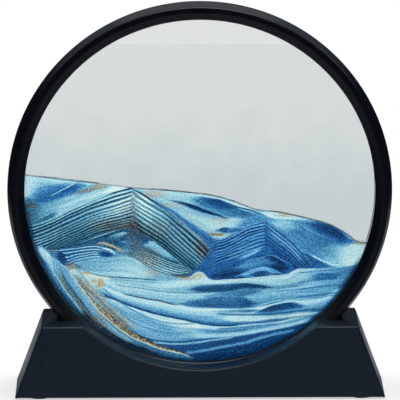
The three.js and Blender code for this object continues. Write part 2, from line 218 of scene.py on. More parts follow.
table_finish, tree, paper = new_material("white table")
paper.inputs["Base Color"].default_value = (PAPER_TONE, PAPER_TONE, PAPER_TONE, 1)
paper.inputs["Roughness"].default_value = 0.9
rays = add(tree, "LightPath").outputs
seen = add(tree, "Math", {0: rays["Is Camera Ray"], 1: rays["Is Transmission Ray"]}, operation="MAXIMUM")
shape = add(tree, "VectorMath", {0: place(tree), 1: SHADOW_SHAPE}, operation="MULTIPLY").outputs["Vector"]
away = add(tree, "VectorMath", {0: shape}, operation="LENGTH").outputs["Value"]
clean = spread(tree, away, SHADOW_LEVEL, 1, SHADOW_START, SHADOW_END)
fade = add(tree, "Math", {0: seen.outputs[0], 1: clean}, operation="MULTIPLY")
white = add(tree, "Emission", {"Color": (1, 1, 1, 1), "Strength": 1})
mixed = add(tree, "MixShader", {0: fade.outputs[0], 1: paper.outputs[0], 2: white.outputs[0]})
print("the shadow on the table ends", round(SHADOW_END / SHADOW_SHAPE[0], 3), "m to the left and right")

# %% Table as the plastic mirrors it
MIRROR_REACH = 0.4
MIRROR_BRIGHT_SPAN = (0.2, 0.5)
MIRROR_EDGE = (0.1, 0.125)
MIRROR_SIDE_LEVEL = 0.3
MIRROR_FRONT = (0.3, 0.33, 0.38, 1)
MIRROR_BRIGHT = (0.8, 0.85, 0.93, 1)
MIRROR_FAR = (0.08, 0.09, 0.1, 1)

spot = add(tree, "SeparateXYZ", {0: place(tree)}).outputs
behind = spread(tree, spot["Y"], 0, 1, 0, MIRROR_REACH)
aside = add(tree, "Math", {0: spot["X"]}, operation="ABSOLUTE").outputs[0]
beside = spread(tree, aside, 1, MIRROR_SIDE_LEVEL, *MIRROR_EDGE)
bright_from, bright_to = MIRROR_BRIGHT_SPAN
mirror_stops = [(0.08, MIRROR_FRONT), (bright_from, MIRROR_BRIGHT)]
mirror_stops += [(bright_to, MIRROR_BRIGHT), (0.8, MIRROR_FAR)]
mirror_tint = ramp(tree, behind, mirror_stops)
mirrored = add(tree, "Emission", {"Color": mirror_tint, "Strength": beside})
mirror_rays = {0: rays["Is Glossy Ray"], 1: seen.outputs[0]}
mirror = add(tree, "Math", mirror_rays, operation="SUBTRACT", use_clamp=True)
final = add(tree, "MixShader", {0: mirror.outputs[0], 1: mixed.outputs[0], 2: mirrored.outputs[0]})
tree.links.new(final.outputs[0], tree.nodes["Material Output"].inputs["Surface"])
table_mesh.materials.append(table_finish)
print("mirrored light is brightest from", bright_from * MIRROR_REACH, "to", bright_to * MIRROR_REACH, "m")

# %% Room
ROOM_LOW = (0.02, 0.023, 0.03, 1)
ROOM_HIGH = (0.4, 0.44, 0.5, 1)

room = bpy.data.worlds.new("room")
bpy.context.scene.world = room
room.use_nodes = True
tree = room.node_tree
tree.nodes.clear()
rays = add(tree, "LightPath").outputs
seen = add(tree, "Math", {0: rays["Is Camera Ray"], 1: rays["Is Transmission Ray"]}, operation="MAXIMUM")
upward = add(tree, "SeparateXYZ", {0: add(tree, "TexCoord").outputs["Generated"]}).outputs["Z"]
dim = ramp(tree, upward, [(0.3, ROOM_LOW), (0.55, ROOM_HIGH)])
ceiling = add(tree, "Background", {"Color": dim, "Strength": 1})
ground = add(tree, "Background", {"Color": (1, 1, 1, 1), "Strength": 1})
mixed = add(tree, "MixShader", {0: seen.outputs[0], 1: ceiling.outputs[0], 2: ground.outputs[0]})
add(tree, "OutputWorld", {"Surface": mixed.outputs[0]})
print("room: dark below, pale above")


# %% Lamps
def soft_lamp(name, direction, distance, size, brightness):
    data = bpy.data.lights.new(name, "AREA")
    data.shape = "SQUARE"
    data.size = size
    data.energy = brightness * math.pi * size**2
    lamp = bpy.data.objects.new(name, data)
    bpy.context.scene.collection.objects.link(lamp)
    aim = Vector(direction).normalized()
    lamp.location = Vector((0, 0, RING_HEIGHT * MM)) + aim * distance
    lamp.rotation_euler = aim.to_track_quat("Z", "Y").to_euler()
    print(name, "at", [round(value, 2) for value in lamp.location], round(data.energy, 1), "W")


soft_lamp("front lamp", direction=(0.06, -0.72, 0.69), distance=1.3, size=0.7, brightness=9.0)
soft_lamp("ceiling lamp", direction=(0, 0.3, 1), distance=1.2, size=1.2, brightness=0.5)
soft_lamp("side lamp", direction=(0.79, -0.13, 0.57), distance=1.2, size=0.3, brightness=6.0)

# %% [markdown]
# ## Plastics, rubber and steel
# The ring and the base are moulded in black plastic with a hint of blue. Such a surface isn't one flat
# black: the mould leaves a very fine texture, and tone and gloss vary a little from place to place. One
# recipe serves all of these pieces, the rubber and the steel too, with its own numbers for each.


# %% Moulded finishes
def moulded(name, deep, pale, rough, texture_mm, relief_mm, shine):
    material, tree, shader = new_material(name)
    cloud = grain(tree, size_mm=9, detail=3)
    tint = ramp(tree, cloud, [(0.35, deep), (0.7, pale)])
    tree.links.new(tint, shader.inputs["Base Color"])
    patch = spread(tree, grain(tree, size_mm=4, detail=4), *rough)
    tree.links.new(patch, shader.inputs["Roughness"])
    shader.inputs["Specular IOR Level"].default_value = shine
    bump(tree, shader, grain(tree, texture_mm), relief_mm, strength=0.6)
    return material


print("recipe for moulded finishes ready")

# %% Plastics, rubber and steel
ring_plastic = moulded(
    "ring plastic", colour(3, 5, 10), colour(4, 8, 15),
    rough=(0.2, 0.27), texture_mm=0.5, relief_mm=0.006, shine=0.35,
)
base_plastic = moulded(
    "base plastic", colour(14, 24, 34), colour(17, 27, 38),
    rough=(0.32, 0.4), texture_mm=0.45, relief_mm=0.012, shine=0.2,
)
cover_plastic = moulded(
    "cover plastic", colour(14, 17, 22), colour(19, 22, 28),
    rough=(0.5, 0.65), texture_mm=0.6, relief_mm=0.03, shine=0.4,
)
pad_rubber = moulded(
    "pad rubber", colour(14, 14, 15), colour(24, 24, 25),
    rough=(0.75, 0.9), texture_mm=0.4, relief_mm=0.04, shine=0.3,
)
seal_rubber = moulded(
    "seal rubber", colour(10, 11, 13), colour(17, 18, 20),
    rough=(0.6, 0.75), texture_mm=0.3, relief_mm=0.02, shine=0.3,
)
screw_steel = moulded(
    "screw steel", colour(150, 153, 158), colour(182, 184, 188),
    rough=(0.25, 0.4), texture_mm=0.15, relief_mm=0.01, shine=0.5,
)
screw_steel.node_tree.nodes["Principled BSDF"].inputs["Metallic"].default_value = 1
print("moulded finishes: ring, base, cover, pad, seal, screw")

# %% [markdown]
# ## Glass and liquid
# Clear glass is mostly what is behind it. It bends light a little, mirrors a little and takes a trace of
# grey out of the white ground. Lamps have to shine through it onto the sand, so for shadow rays the glass
# counts as a plain see-through sheet. The liquid is made the same way, with less of everything. The clear
# part of the photograph turns a little greyer towards the sand, so there is a second tint for the bottom.


# %% Clear finishes
def clear(name, tint, low_tint, bend):
    material, tree, shader = new_material(name)
    height = add(tree, "SeparateXYZ", {0: add(tree, "TexCoord").outputs["Generated"]}).outputs["Z"]
    cloud = spread(tree, grain(tree, size_mm=14), -0.08, 0.08)
    level = add(tree, "Math", {0: height, 1: cloud}, operation="ADD").outputs[0]
    shade = ramp(tree, level, [(0.25, low_tint), (0.7, tint)])
    tree.links.new(shade, shader.inputs["Base Color"])
    shader.inputs["Transmission Weight"].default_value = 1
    shader.inputs["Roughness"].default_value = 0
    shader.inputs["IOR"].default_value = bend
    open_sheet = add(tree, "BsdfTransparent", {"Color": (0.97, 0.97, 0.97, 1)})
    shadow = add(tree, "LightPath").outputs["Is Shadow Ray"]
    mixed = add(tree, "MixShader", {0: shadow, 1: shader.outputs[0], 2: open_sheet.outputs[0]})
    tree.links.new(mixed.outputs[0], tree.nodes["Material Output"].inputs["Surface"])
    return material


clear_glass = clear("clear glass", colour(238, 240, 239), colour(236, 238, 237), 1.15)
clear_liquid = clear("clear liquid", colour(247, 249, 249), colour(230, 236, 241), 1.08)
print("clear finishes: glass, liquid")

# %% [markdown]
# ## Mesh helpers
# Three ways of making a mesh cover the whole object. A turned piece spins a profile about an axis, like
# work on a lathe. A filled sheet joins rows of points into faces. A cut takes one closed mesh out of another.
# Real moulded edges are never knife sharp, so profiles get small rounded corners, which catch the light.

# %% Pieces and their normals
MERGE_MM = 0.002
SLIVER_MM = 0.001


def piece_from(name, points_mm, faces):
    mesh = bpy.data.meshes.new(name)
    mesh.from_pydata([Vector(point) * MM for point in points_mm], [], faces)
    piece = bpy.data.objects.new(name, mesh)
    bpy.context.scene.collection.objects.link(piece)
    return piece


def tidy_normals(piece, sharp_angle=40):
    shape = bmesh.new()
    shape.from_mesh(piece.data)
    bmesh.ops.remove_doubles(shape, verts=shape.verts, dist=MERGE_MM * MM)
    bmesh.ops.dissolve_degenerate(shape, edges=shape.edges, dist=SLIVER_MM * MM)
    bmesh.ops.recalc_face_normals(shape, faces=shape.faces)
    shape.to_mesh(piece.data)
    shape.free()
    piece.data.shade_smooth()
    piece.data.set_sharp_from_angle(angle=math.radians(sharp_angle))


print("points closer than", MERGE_MM, "mm become one")


# %% Rounded profiles
def rounded(profile, radii, steps=3):
    """A closed profile with each corner replaced by a small curve; a radius of 0 keeps it sharp."""
    result = []
    count = len(profile)
    for index, radius in enumerate(radii):
        corner = Vector(profile[index])
        if not radius:
            result.append(tuple(corner))
            continue
        before = (Vector(profile[index - 1]) - corner).normalized() * radius
        after = (Vector(profile[(index + 1) % count]) - corner).normalized() * radius
        for step in range(steps + 1):
            share = step / steps
            point = corner + before * (1 - share) ** 2 + after * share**2
            result.append(tuple(point))
    return result


square = [(0, 0), (1, 0), (1, 1), (0, 1)]
print("a square with rounded corners has", len(rounded(square, [0.1] * 4)), "points")


# %% Turned pieces
def spun(name, profile, facets, centre=(0, 0, 0), upright=False):
    """A closed profile of (radius, along) points, turned about the y axis, or about z if upright."""
    points = []
    for turn in range(facets):
        angle = 2 * math.pi * turn / facets
        for radius, along in profile:
            across, side = radius * math.cos(angle), radius * math.sin(angle)
            point = (across, side, along) if upright else (across, along, side)
            points.append([value + offset for value, offset in zip(point, centre)])
    size = len(profile)
    faces = []
    for turn in range(facets):
        here, there = turn * size, (turn + 1) % facets * size
        for index in range(size):
            after = (index + 1) % size
            faces.append((here + index, here + after, there + after, there + index))
    return piece_from(name, points, faces)


print("profiles can be turned about y or z")

# %% Cuts and places
CUT_SPARE = 1.0


def cut(piece, cutter):
    """Takes the cutter out of the piece for good and throws the cutter away."""
    tool = piece.modifiers.new("cut", "BOOLEAN")
    tool.operation = "DIFFERENCE"
    tool.solver = "EXACT"
    tool.object = cutter
    depsgraph = bpy.context.evaluated_depsgraph_get()
    old = piece.data
    piece.data = bpy.data.meshes.new_from_object(piece.evaluated_get(depsgraph))
    piece.modifiers.clear()
    bpy.data.meshes.remove(old)
    spent = cutter.data
    bpy.data.objects.remove(cutter)
    bpy.data.meshes.remove(spent)


def settle(piece, body, slot, finish, *nodes):
    """Gives a piece its finish and its place in the model."""
    piece.data.materials.clear()
    piece.data.materials.append(finish)
    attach(piece, body)
    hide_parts(*nodes)
    print(piece.name, "has", len(piece.data.polygons), "faces and stands for", ", ".join(nodes))


print("cutters reach", CUT_SPARE, "mm beyond the pieces they cut")

# %% [markdown]
# ## Ring
# The ring is two moulded halves that snap together on the middle plane. Each half has a flat outer edge, a
# bevel, a flat land, an inner bevel that leads the eye to the window and a thin lip over the glass. It is
# one profile spun about the ring's axis. Many facets keep the long highlights smooth.

# %% Sizes of the ring
RING_FACETS = 288
LAND_OUTER = 87.2
LAND_INNER = 84.4
LIP_FRONT = 4.0
LIP_BACK = 3.2
REBATE_RADIUS = 85.7
EDGE_HALF_BAND = 1.0
JOINT_RADIUS = 87.35
TONGUE_HALF = 0.5
TONGUE_LENGTH = 1.2
JOINT_SPARE = 0.2
PORT_FACETS = 32
PORT_RADIUS = 1.7
CAP_RADIUS = 2.4
CAP_SEAT = 86.6
RING_CENTRE = (0, 0, RING_HEIGHT)
print("the land of the ring is", round(LAND_OUTER - LAND_INNER, 2), "mm wide")


# %% Ring halves
def ring_half(name, side):
    spare = JOINT_SPARE if side > 0 else 0
    half = TONGUE_HALF + spare
    reach = TONGUE_LENGTH + spare
    profile = [
        (REBATE_RADIUS, 0), (JOINT_RADIUS - half, 0), (JOINT_RADIUS - half, reach),
        (JOINT_RADIUS + half, reach), (JOINT_RADIUS + half, 0), (RING_RADIUS, 0),
        (RING_RADIUS, side * EDGE_HALF_BAND), (LAND_OUTER, side * RING_HALF_DEPTH),
        (LAND_INNER, side * RING_HALF_DEPTH), (WINDOW_RADIUS, side * LIP_FRONT),
        (WINDOW_RADIUS, side * LIP_BACK), (REBATE_RADIUS, side * LIP_BACK),
    ]
    # How far each of these corners is rounded, in the same order.
    radii = [0, 0, 0, 0, 0, 0.12, 0.3, 0.35, 0.3, 0.25, 0.2, 0]
    half_ring = spun(name, rounded(profile, radii), RING_FACETS, RING_CENTRE)
    tidy_normals(half_ring)
    inner = RING_HEIGHT - REBATE_RADIUS + CUT_SPARE
    outer = RING_HEIGHT - RING_RADIUS - CUT_SPARE
    seat = RING_HEIGHT - CAP_SEAT
    hole = [(0, inner), (PORT_RADIUS, inner), (PORT_RADIUS, seat)]
    hole += [(CAP_RADIUS, seat), (CAP_RADIUS, outer), (0, outer)]
    port = spun("port hole", hole, PORT_FACETS, upright=True)
    tidy_normals(port)
    cut(half_ring, port)
    tidy_normals(half_ring)
    return half_ring


settle(ring_half("ring_front_half", -1), "frame", "ring_plastic", ring_plastic, "front_bezel")
settle(ring_half("ring_rear_half", 1), "frame", "ring_plastic", ring_plastic, "rear_bezel")

# %% [markdown]
# ## Base
# The base is a hollow moulding with sloping ends. Its top is one outline for the two cradle walls and a
# deeper one for the slot between them, so the shape can be read off as a height at each place along the base.
# A row of cross sections, set close together, is joined into the outside. A second, plainer row makes the
# hollow, which is cut out from below.

# %% Base outline
TOP_HALF_LENGTH = 73.05
ARC_RADIUS = 80.7
SLOT_RADIUS = 89.3
SLOT_HALF_WIDTH = 6.3
BASE_WALL = 1.8
SHOULDER_ROUND = 1.6
EDGE_ROUND = 1.0
ARC_EDGE_BLEND = 0.5
SLOT_EDGE_ROUND = 0.35
BOTTOM_ROUND = 0.5
END_SLOPE = (SHOULDER_HEIGHT - BASE_BOTTOM) / (BASE_HALF_LENGTH - TOP_HALF_LENGTH)


def lower_of(first, second, blend):
    """The lower of two heights, with the corner between them rounded over the blend."""
    near = max(blend - abs(first - second), 0) / blend
    return min(first, second) - near * near * blend / 4


def arc_height(x, radius):
    return RING_HEIGHT - math.sqrt(max(radius**2 - x**2, 0))


def wall_top(x, arc_radius, inset=0):
    end = BASE_BOTTOM + (BASE_HALF_LENGTH - inset - abs(x)) * END_SLOPE
    height = lower_of(SHOULDER_HEIGHT - inset, end, SHOULDER_ROUND)
    return lower_of(height, arc_height(x, arc_radius + inset), ARC_EDGE_BLEND)


print("arc bottom", wall_top(0, ARC_RADIUS), "slot floor", wall_top(0, SLOT_RADIUS))

# %% Cross sections of the base
EVEN_SHARE = 0.6
SLOPE_STEP = 0.05


def section_rows(length, facets):
    """Places along the base, closer together towards its ends."""
    steps = [2 * index / facets - 1 for index in range(facets + 1)]
    return [length * (EVEN_SHARE * step + (1 - EVEN_SHARE) * math.sin(step * math.pi / 2)) for step in steps]


def rounded_edge(radius, steep, steps=4):
    """(inward, down) pairs over a rounded edge on a slope."""
    turns = [math.pi / 2 * step / steps for step in range(steps + 1)]
    return [(radius * (1 - math.cos(turn)), radius * (1 - math.sin(turn)) * steep) for turn in turns]


def outside_section(x):
    wall, slot = wall_top(x, ARC_RADIUS), wall_top(x, SLOT_RADIUS)
    rise = wall_top(x + SLOPE_STEP, ARC_RADIUS) - wall_top(x - SLOPE_STEP, ARC_RADIUS)
    slope = rise / (2 * SLOPE_STEP)
    steep = math.hypot(1, slope)
    lip = min(SLOT_EDGE_ROUND, (wall - slot) / 3)
    half = [(BASE_HALF_DEPTH - BOTTOM_ROUND, BASE_BOTTOM), (BASE_HALF_DEPTH, BASE_BOTTOM + BOTTOM_ROUND)]
    half += [(BASE_HALF_DEPTH - inward, wall - down) for inward, down in rounded_edge(EDGE_ROUND, steep)]
    half += [(SLOT_HALF_WIDTH + inward, wall - down) for inward, down in reversed(rounded_edge(lip, 1, 3))]
    half += [(SLOT_HALF_WIDTH, slot)]
    half = [(y, max(z, BASE_BOTTOM)) for y, z in half]
    return [(x, -y, z) for y, z in half] + [(x, y, z) for y, z in reversed(half)]


def hollow_section(x):
    trench = SLOT_HALF_WIDTH + BASE_WALL
    under_arc = max(wall_top(x, ARC_RADIUS, BASE_WALL), BASE_BOTTOM)
    under_slot = max(wall_top(x, SLOT_RADIUS, BASE_WALL), BASE_BOTTOM)
    half = [(BASE_HALF_DEPTH - BASE_WALL, BASE_BOTTOM - CUT_SPARE), (BASE_HALF_DEPTH - BASE_WALL, under_arc)]
    half += [(trench, under_arc), (trench, under_slot)]
    return [(x, -y, z) for y, z in half] + [(x, y, z) for y, z in reversed(half)]


print("an outside section has", len(outside_section(0)), "points, a hollow one", len(hollow_section(0)))

# %% Outside and hollow of the base
BASE_FACETS = 340
HOLLOW_FACETS = 120
TIP_CUT = 0.02


def lofted(name, sections):
    size = len(sections[0])
    points = [point for section in sections for point in section]
    faces = [tuple(range(size)), tuple(range(len(points) - size, len(points)))]
    for row in range(len(sections) - 1):
        for index in range(size):
            here, after = row * size + index, row * size + (index + 1) % size
            faces.append((here, after, after + size, here + size))
    loft = piece_from(name, points, faces)
    tidy_normals(loft)
    return loft


base_rows = section_rows(BASE_HALF_LENGTH - TIP_CUT, BASE_FACETS)
base_shell = lofted("base_moulding", [outside_section(x) for x in base_rows])
hollow_rows = section_rows(BASE_HALF_LENGTH - BASE_WALL, HOLLOW_FACETS)
hollow = lofted("hollow", [hollow_section(x) for x in hollow_rows])
print("outside and hollow of the base:", len(base_rows), "and", len(hollow_rows), "cross sections")

# %% Screw posts in the hollow
POST_FACETS = 32
POST_RADIUS = 3.2
PILOT_RADIUS = 1.4
POST_FOOT = 4.0
PILOT_TOP = 12.2


def post(name, radius, foot, top, x, y):
    profile = [(0, foot), (radius, foot), (radius, top), (0, top)]
    made = spun(name, profile, POST_FACETS, (x, y, 0), upright=True)
    tidy_normals(made)
    return made


screw_places = []
for corner in ("front_left", "front_right", "rear_left", "rear_right"):
    screw_low, screw_high = node_box("cover_screw_" + corner)
    screw_places.append(((screw_low[0] + screw_high[0]) / 2, (screw_low[1] + screw_high[1]) / 2))
for x, y in screw_places:
    cut(hollow, post("post", POST_RADIUS, POST_FOOT, SHOULDER_HEIGHT, x, y))
cut(base_shell, hollow)
for x, y in screw_places:
    cut(base_shell, post("pilot", PILOT_RADIUS, POST_FOOT - CUT_SPARE, PILOT_TOP, x, y))
tidy_normals(base_shell, sharp_angle=35)
settle(base_shell, "base", "base_plastic", base_plastic, "base_shell")

# %% [markdown]
# ## Sand lines
# Sand that settles through a liquid leaves layers, and each layer lies between two lines that run from left
# to right. The lines are drawn through a few points, in millimetres from the ring's centre. A smooth
# curve through the points gives the height of a line at any place. These are the lines where the heaps meet.


# %% Smooth line
def line_height(points, x):
    """Height of a smooth line through points at many places, flat beyond its ends."""
    px = np.array([point[0] for point in points], float)
    pz = np.array([point[1] for point in points], float)
    steps = np.diff(pz) / np.diff(px)
    slopes = np.concatenate([steps[:1], (steps[1:] + steps[:-1]) / 2, steps[-1:]])
    x = np.clip(x, px[0], px[-1])
    index = np.clip(np.searchsorted(px, x) - 1, 0, len(px) - 2)
    width = px[index + 1] - px[index]
    share = (x - px[index]) / width
    rest = 1 - share
    heights = (1 + 2 * share) * rest**2 * pz[index] + share**2 * (3 - 2 * share) * pz[index + 1]
    return heights + width * share * rest * (rest * slopes[index] - share * slopes[index + 1])


print("a line through two points is", line_height([(0, 0), (2, 1)], 1), "mm high at its middle")

# %% Lines between the heaps
SURFACE = [
    (-82, 8.2), (-57, 5.3), (-32, 2.1), (-16, 0.7), (-1, -0.9), (6, -1.9), (14, -4), (20.5, -6.5),
    (26.5, -8.5), (36.5, -9.9), (49, -12.6), (57, -14.7), (62, -16.7), (69, -20.9), (72.5, -23.4),
    (82, -24.2),
]
CRESTS = [
    (-82, -17.5), (-69, -10.3), (-60, -6.9), (-53, -4.4), (-47.5, -2), (-41.5, -0.5), (-34, 1.4),
    (-32, 1.8), (-30, 1.1), (-27.5, -0.2), (-22.5, -3.5), (-14, -10.2), (-7, -16.7), (2.5, -25),
    (4, -26.7), (5, -25.9), (6, -23.9), (8, -23.3), (12, -22.2), (17.5, -19.2), (22, -16.9),
    (26.5, -15.4), (30.5, -14.6), (32, -15.8), (36, -18.6), (40.5, -21.9), (44.5, -25.9), (48.5, -30.5),
    (51.5, -34.6), (53.5, -36.6), (57, -36.8), (69.5, -35.5), (82, -32.5),
]
RIDGE_FEET = [
    (-82, -22.1), (-77, -24.8), (-70.5, -27.3), (-69, -29.6), (-65.5, -32.8), (-62, -35.3), (-58, -33.8),
    (-52, -32.2), (-46, -32.5), (-34, -30.9), (-30.5, -31.7), (-26.5, -34.4), (-21, -37.4), (-15, -39.5),
    (-10, -40.8), (-5, -40.6), (-1.5, -38.2), (1.5, -38.6), (4.5, -41.5), (12, -41.8), (32.5, -40.1),
    (41, -39), (45.5, -36.8), (49, -36.8), (53.5, -36.6), (57, -36.8), (69.5, -35.5), (82, -32.5),
]
RIDGE_GAP = [(-5, -40.6), (-2.5, -37), (1.5, -33.2), (3.5, -29.8), (5, -25.9)]
VEIN = [
    (-62, -35.3), (-58.5, -39.6), (-51.5, -48.7), (-48.5, -52.3), (-43, -57.3), (-31.5, -66.8),
    (-26, -69.7), (-19, -73.1), (-12, -75.3), (-6.5, -77.1), (-3, -79.2),
]
VEIN_THICKNESS = [(-62, 0.4), (-55, 1.4), (-47, 2.9), (-38, 3.2), (-28, 2.3), (-18, 1.7), (-3, 0.5)]
VEIN_FOOT = [(x, z - line_height(VEIN_THICKNESS, x)) for x, z in VEIN]
print("the surface falls from", SURFACE[0][1], "to", SURFACE[-1][1], "mm")

# %% [markdown]
# ## Painting with layers
# The colour of the sand is kept at each point of its surface as three numbers: a tone from dark to white, a
# share of teal against royal blue, and a share of gold. Layers are laid over one another from the oldest to
# the newest, as the sand itself settled. A layer has soft edges and fine threads that follow it.

# %% Soft edges and threads
# Pitch in millimetres, sway and weight of each set of threads.
THREADS = ((4.3, 0.05, 0.3), (2.3, 0.09, 0.3), (1.4, 0.13, 0.3), (0.9, 0.17, 0.25))


def ease(share):
    share = np.clip(share, 0, 1)
    return share * share * (3 - 2 * share)


def threads(depth, x):
    """Lighter and darker threads at a depth inside a layer, between about -1 and 1."""
    total = 0
    for pitch, sway, weight in THREADS:
        phase = depth / pitch + 0.35 * np.sin(sway * x + 5 * pitch)
        strength = 0.6 + 0.4 * np.sin(1.7 * sway * x + 3 * pitch)
        total = total + weight * strength * np.sin(2 * np.pi * phase)
    return total


def moved(line, across, up):
    return [(x + across, z + up) for x, z in line]


def gradient(depth, along, *lists):
    """A tone that runs through lists of tones: each holds for a place along the layer, from left to right."""
    spot = np.clip(along, 0, 1) * (len(lists) - 1)
    total = 0
    for index, tones in enumerate(lists):
        tone = np.interp(depth, np.linspace(0, 1, len(tones)), tones)
        total = total + tone * ease(1 - np.abs(spot - index))
    return total


print("half way through a soft edge the cover is", ease(0.5))

# %% Colours of the sand
SPECK_X = 127.1
SPECK_Z = 311.7
SPECK_SCALE = 43758.5453


class PaintedSand:
    """The colour of the sand at many places."""

    def __init__(self, x, z):
        # Drawn lines waver a little, so that they don't look ruled.
        self.x = x + 0.2 * np.sin(0.4 * z + 0.1 * x)
        self.z = z + 0.1 * np.sin(0.21 * x + 0.3 * z) + 0.04 * np.sin(0.9 * x - 0.8 * z)
        self.tone = np.full_like(x, 0.85)
        self.teal = np.full_like(x, 0.5)
        self.gold = np.zeros_like(x)
        # A number from 0 to 1 for each place: it looks random and is the same on every run.
        self.speck = np.sin(x * SPECK_X + z * SPECK_Z) * SPECK_SCALE % 1

    def lay(self, cover, tone, teal, gold=0):
        """Covers what is there with sand of another colour."""
        self.tone += cover * (tone - self.tone)
        self.teal += cover * (teal - self.teal)
        self.gold += cover * (gold - self.gold)


print("sand has a tone, a share of teal and a share of gold at each place")

# %% Layers of the sand
# Thicknesses are in millimetres. The fade and the taper at the ends of a layer are shares.
LEAST_THICKNESS = 0.02
THINNEST_LAYER = 0.03
LONGEST_FADE = 0.3
END_TAPER = 0.6


class LayeredSand(PaintedSand):
    """Sand that can be painted between two lines."""

    def within(self, top, foot, soft, end_fade=7):
        """Cover, share of the depth, thickness and share of the length of a layer between two lines."""
        upper, lower = line_height(top, self.x), line_height(foot, self.x)
        thick = np.maximum(upper - lower, LEAST_THICKNESS)
        start, end = max(top[0][0], foot[0][0]), min(top[-1][0], foot[-1][0])
        edge = np.minimum(soft, thick)
        end_fade = min(end_fade, LONGEST_FADE * (end - start))
        cover = ease(0.5 + (upper - self.z) / edge) * ease(0.5 + (self.z - lower) / edge)
        depth = (upper - self.z) / thick
        taper = END_TAPER * np.abs(2 * np.clip(depth, 0, 1) - 1)
        cover = cover * ease((self.x - start) / end_fade - taper) * ease((end - self.x) / end_fade - taper)
        return cover * (thick > THINNEST_LAYER), depth, thick, (self.x - start) / (end - start)

    def band(self, top, foot, left, right=None, teal=0.3, gold=0, soft=0.5, thread=0.08):
        """A layer between two lines; left and right list its tones from the top down at its two ends."""
        cover, depth, thick, along = self.within(top, foot, soft)
        tone = gradient(depth, along, left, right or left)
        tone = tone + thread * threads(depth * np.median(thick), self.x)
        self.lay(cover, tone, teal, gold)

    def layers(self, top, foot, runs, gaps, lines, teal=0.5, width=0.23):
        """Runs of sand that end in thin lines; runs gives the share of the depth where each line lies."""
        cover, depth, _, along = self.within(top, foot, soft=0.4, end_fade=0.3)
        phase = np.interp(depth, runs, np.arange(len(runs)))
        # The lines sway a little and aren't all of one width.
        phase = phase + 0.1 * np.sin(0.11 * self.x + 9 * depth) + 0.06 * np.sin(0.35 * self.x)
        near = np.abs(phase - np.round(phase))
        stroke = ease(0.5 + (width + 0.05 * np.sin(7.3 * np.round(phase)) - near) / 0.14)
        gap_tone = gradient(depth, along, *gaps)
        line_tone = gradient(depth, along, *lines)
        self.lay(cover, gap_tone + stroke * (line_tone - gap_tone), teal)


print("layers thinner than", THINNEST_LAYER, "mm are left out")

# %% Strokes and grains of the sand
STROKE_FADE = 4
GRAIN_COVER = 0.8


class Sand(LayeredSand):
    """Sand that can also be painted along one line or around a place."""

    def stroke(self, line, thick, tone, teal=0.3, gold=0, strength=1):
        """A thin run of one tone along a line."""
        centre = line_height(line, self.x)
        slope = line_height(line, self.x + 0.5) - line_height(line, self.x - 0.5)
        start, end = line[0][0], line[-1][0]
        ends = ease((self.x - start) / STROKE_FADE) * ease((end - self.x) / STROKE_FADE)
        reach = thick / 2 * np.sqrt(1 + slope**2)
        cover = ease(1.5 - np.abs(self.z - centre) / reach) * ends
        self.lay(cover * strength, tone, teal, gold)

    def nearness(self, place_mm, reach_x, reach_z):
        """1 at a place, falling to 0 a little beyond its reach."""
        return ease(1.3 - np.hypot((self.x - place_mm[0]) / reach_x, (self.z - place_mm[1]) / reach_z))

    def dust(self, place_mm, reach_x, reach_z, amount, gold=1, tone=0.55):
        """Scattered grains around a place."""
        cover = self.nearness(place_mm, reach_x, reach_z) * (self.speck < amount)
        self.lay(cover * GRAIN_COVER, tone, 0.5, gold)

    def tint(self, place_mm, reach_x, reach_z, teal, gold):
        """Another hue around a place, with the tone left as it is."""
        self.lay(self.nearness(place_mm, reach_x, reach_z), self.tone, teal, gold)


print("strokes fade over", STROKE_FADE, "mm at their ends")

# %% [markdown]
# ## Back dunes
# The two dunes at the back settled first. They are pale, with a few dark lenses of blue sand that thin out at
# both ends, and a dusting of gold near the surface. Most lenses are darkest along the upper edge and fade
# into the pale sand below.


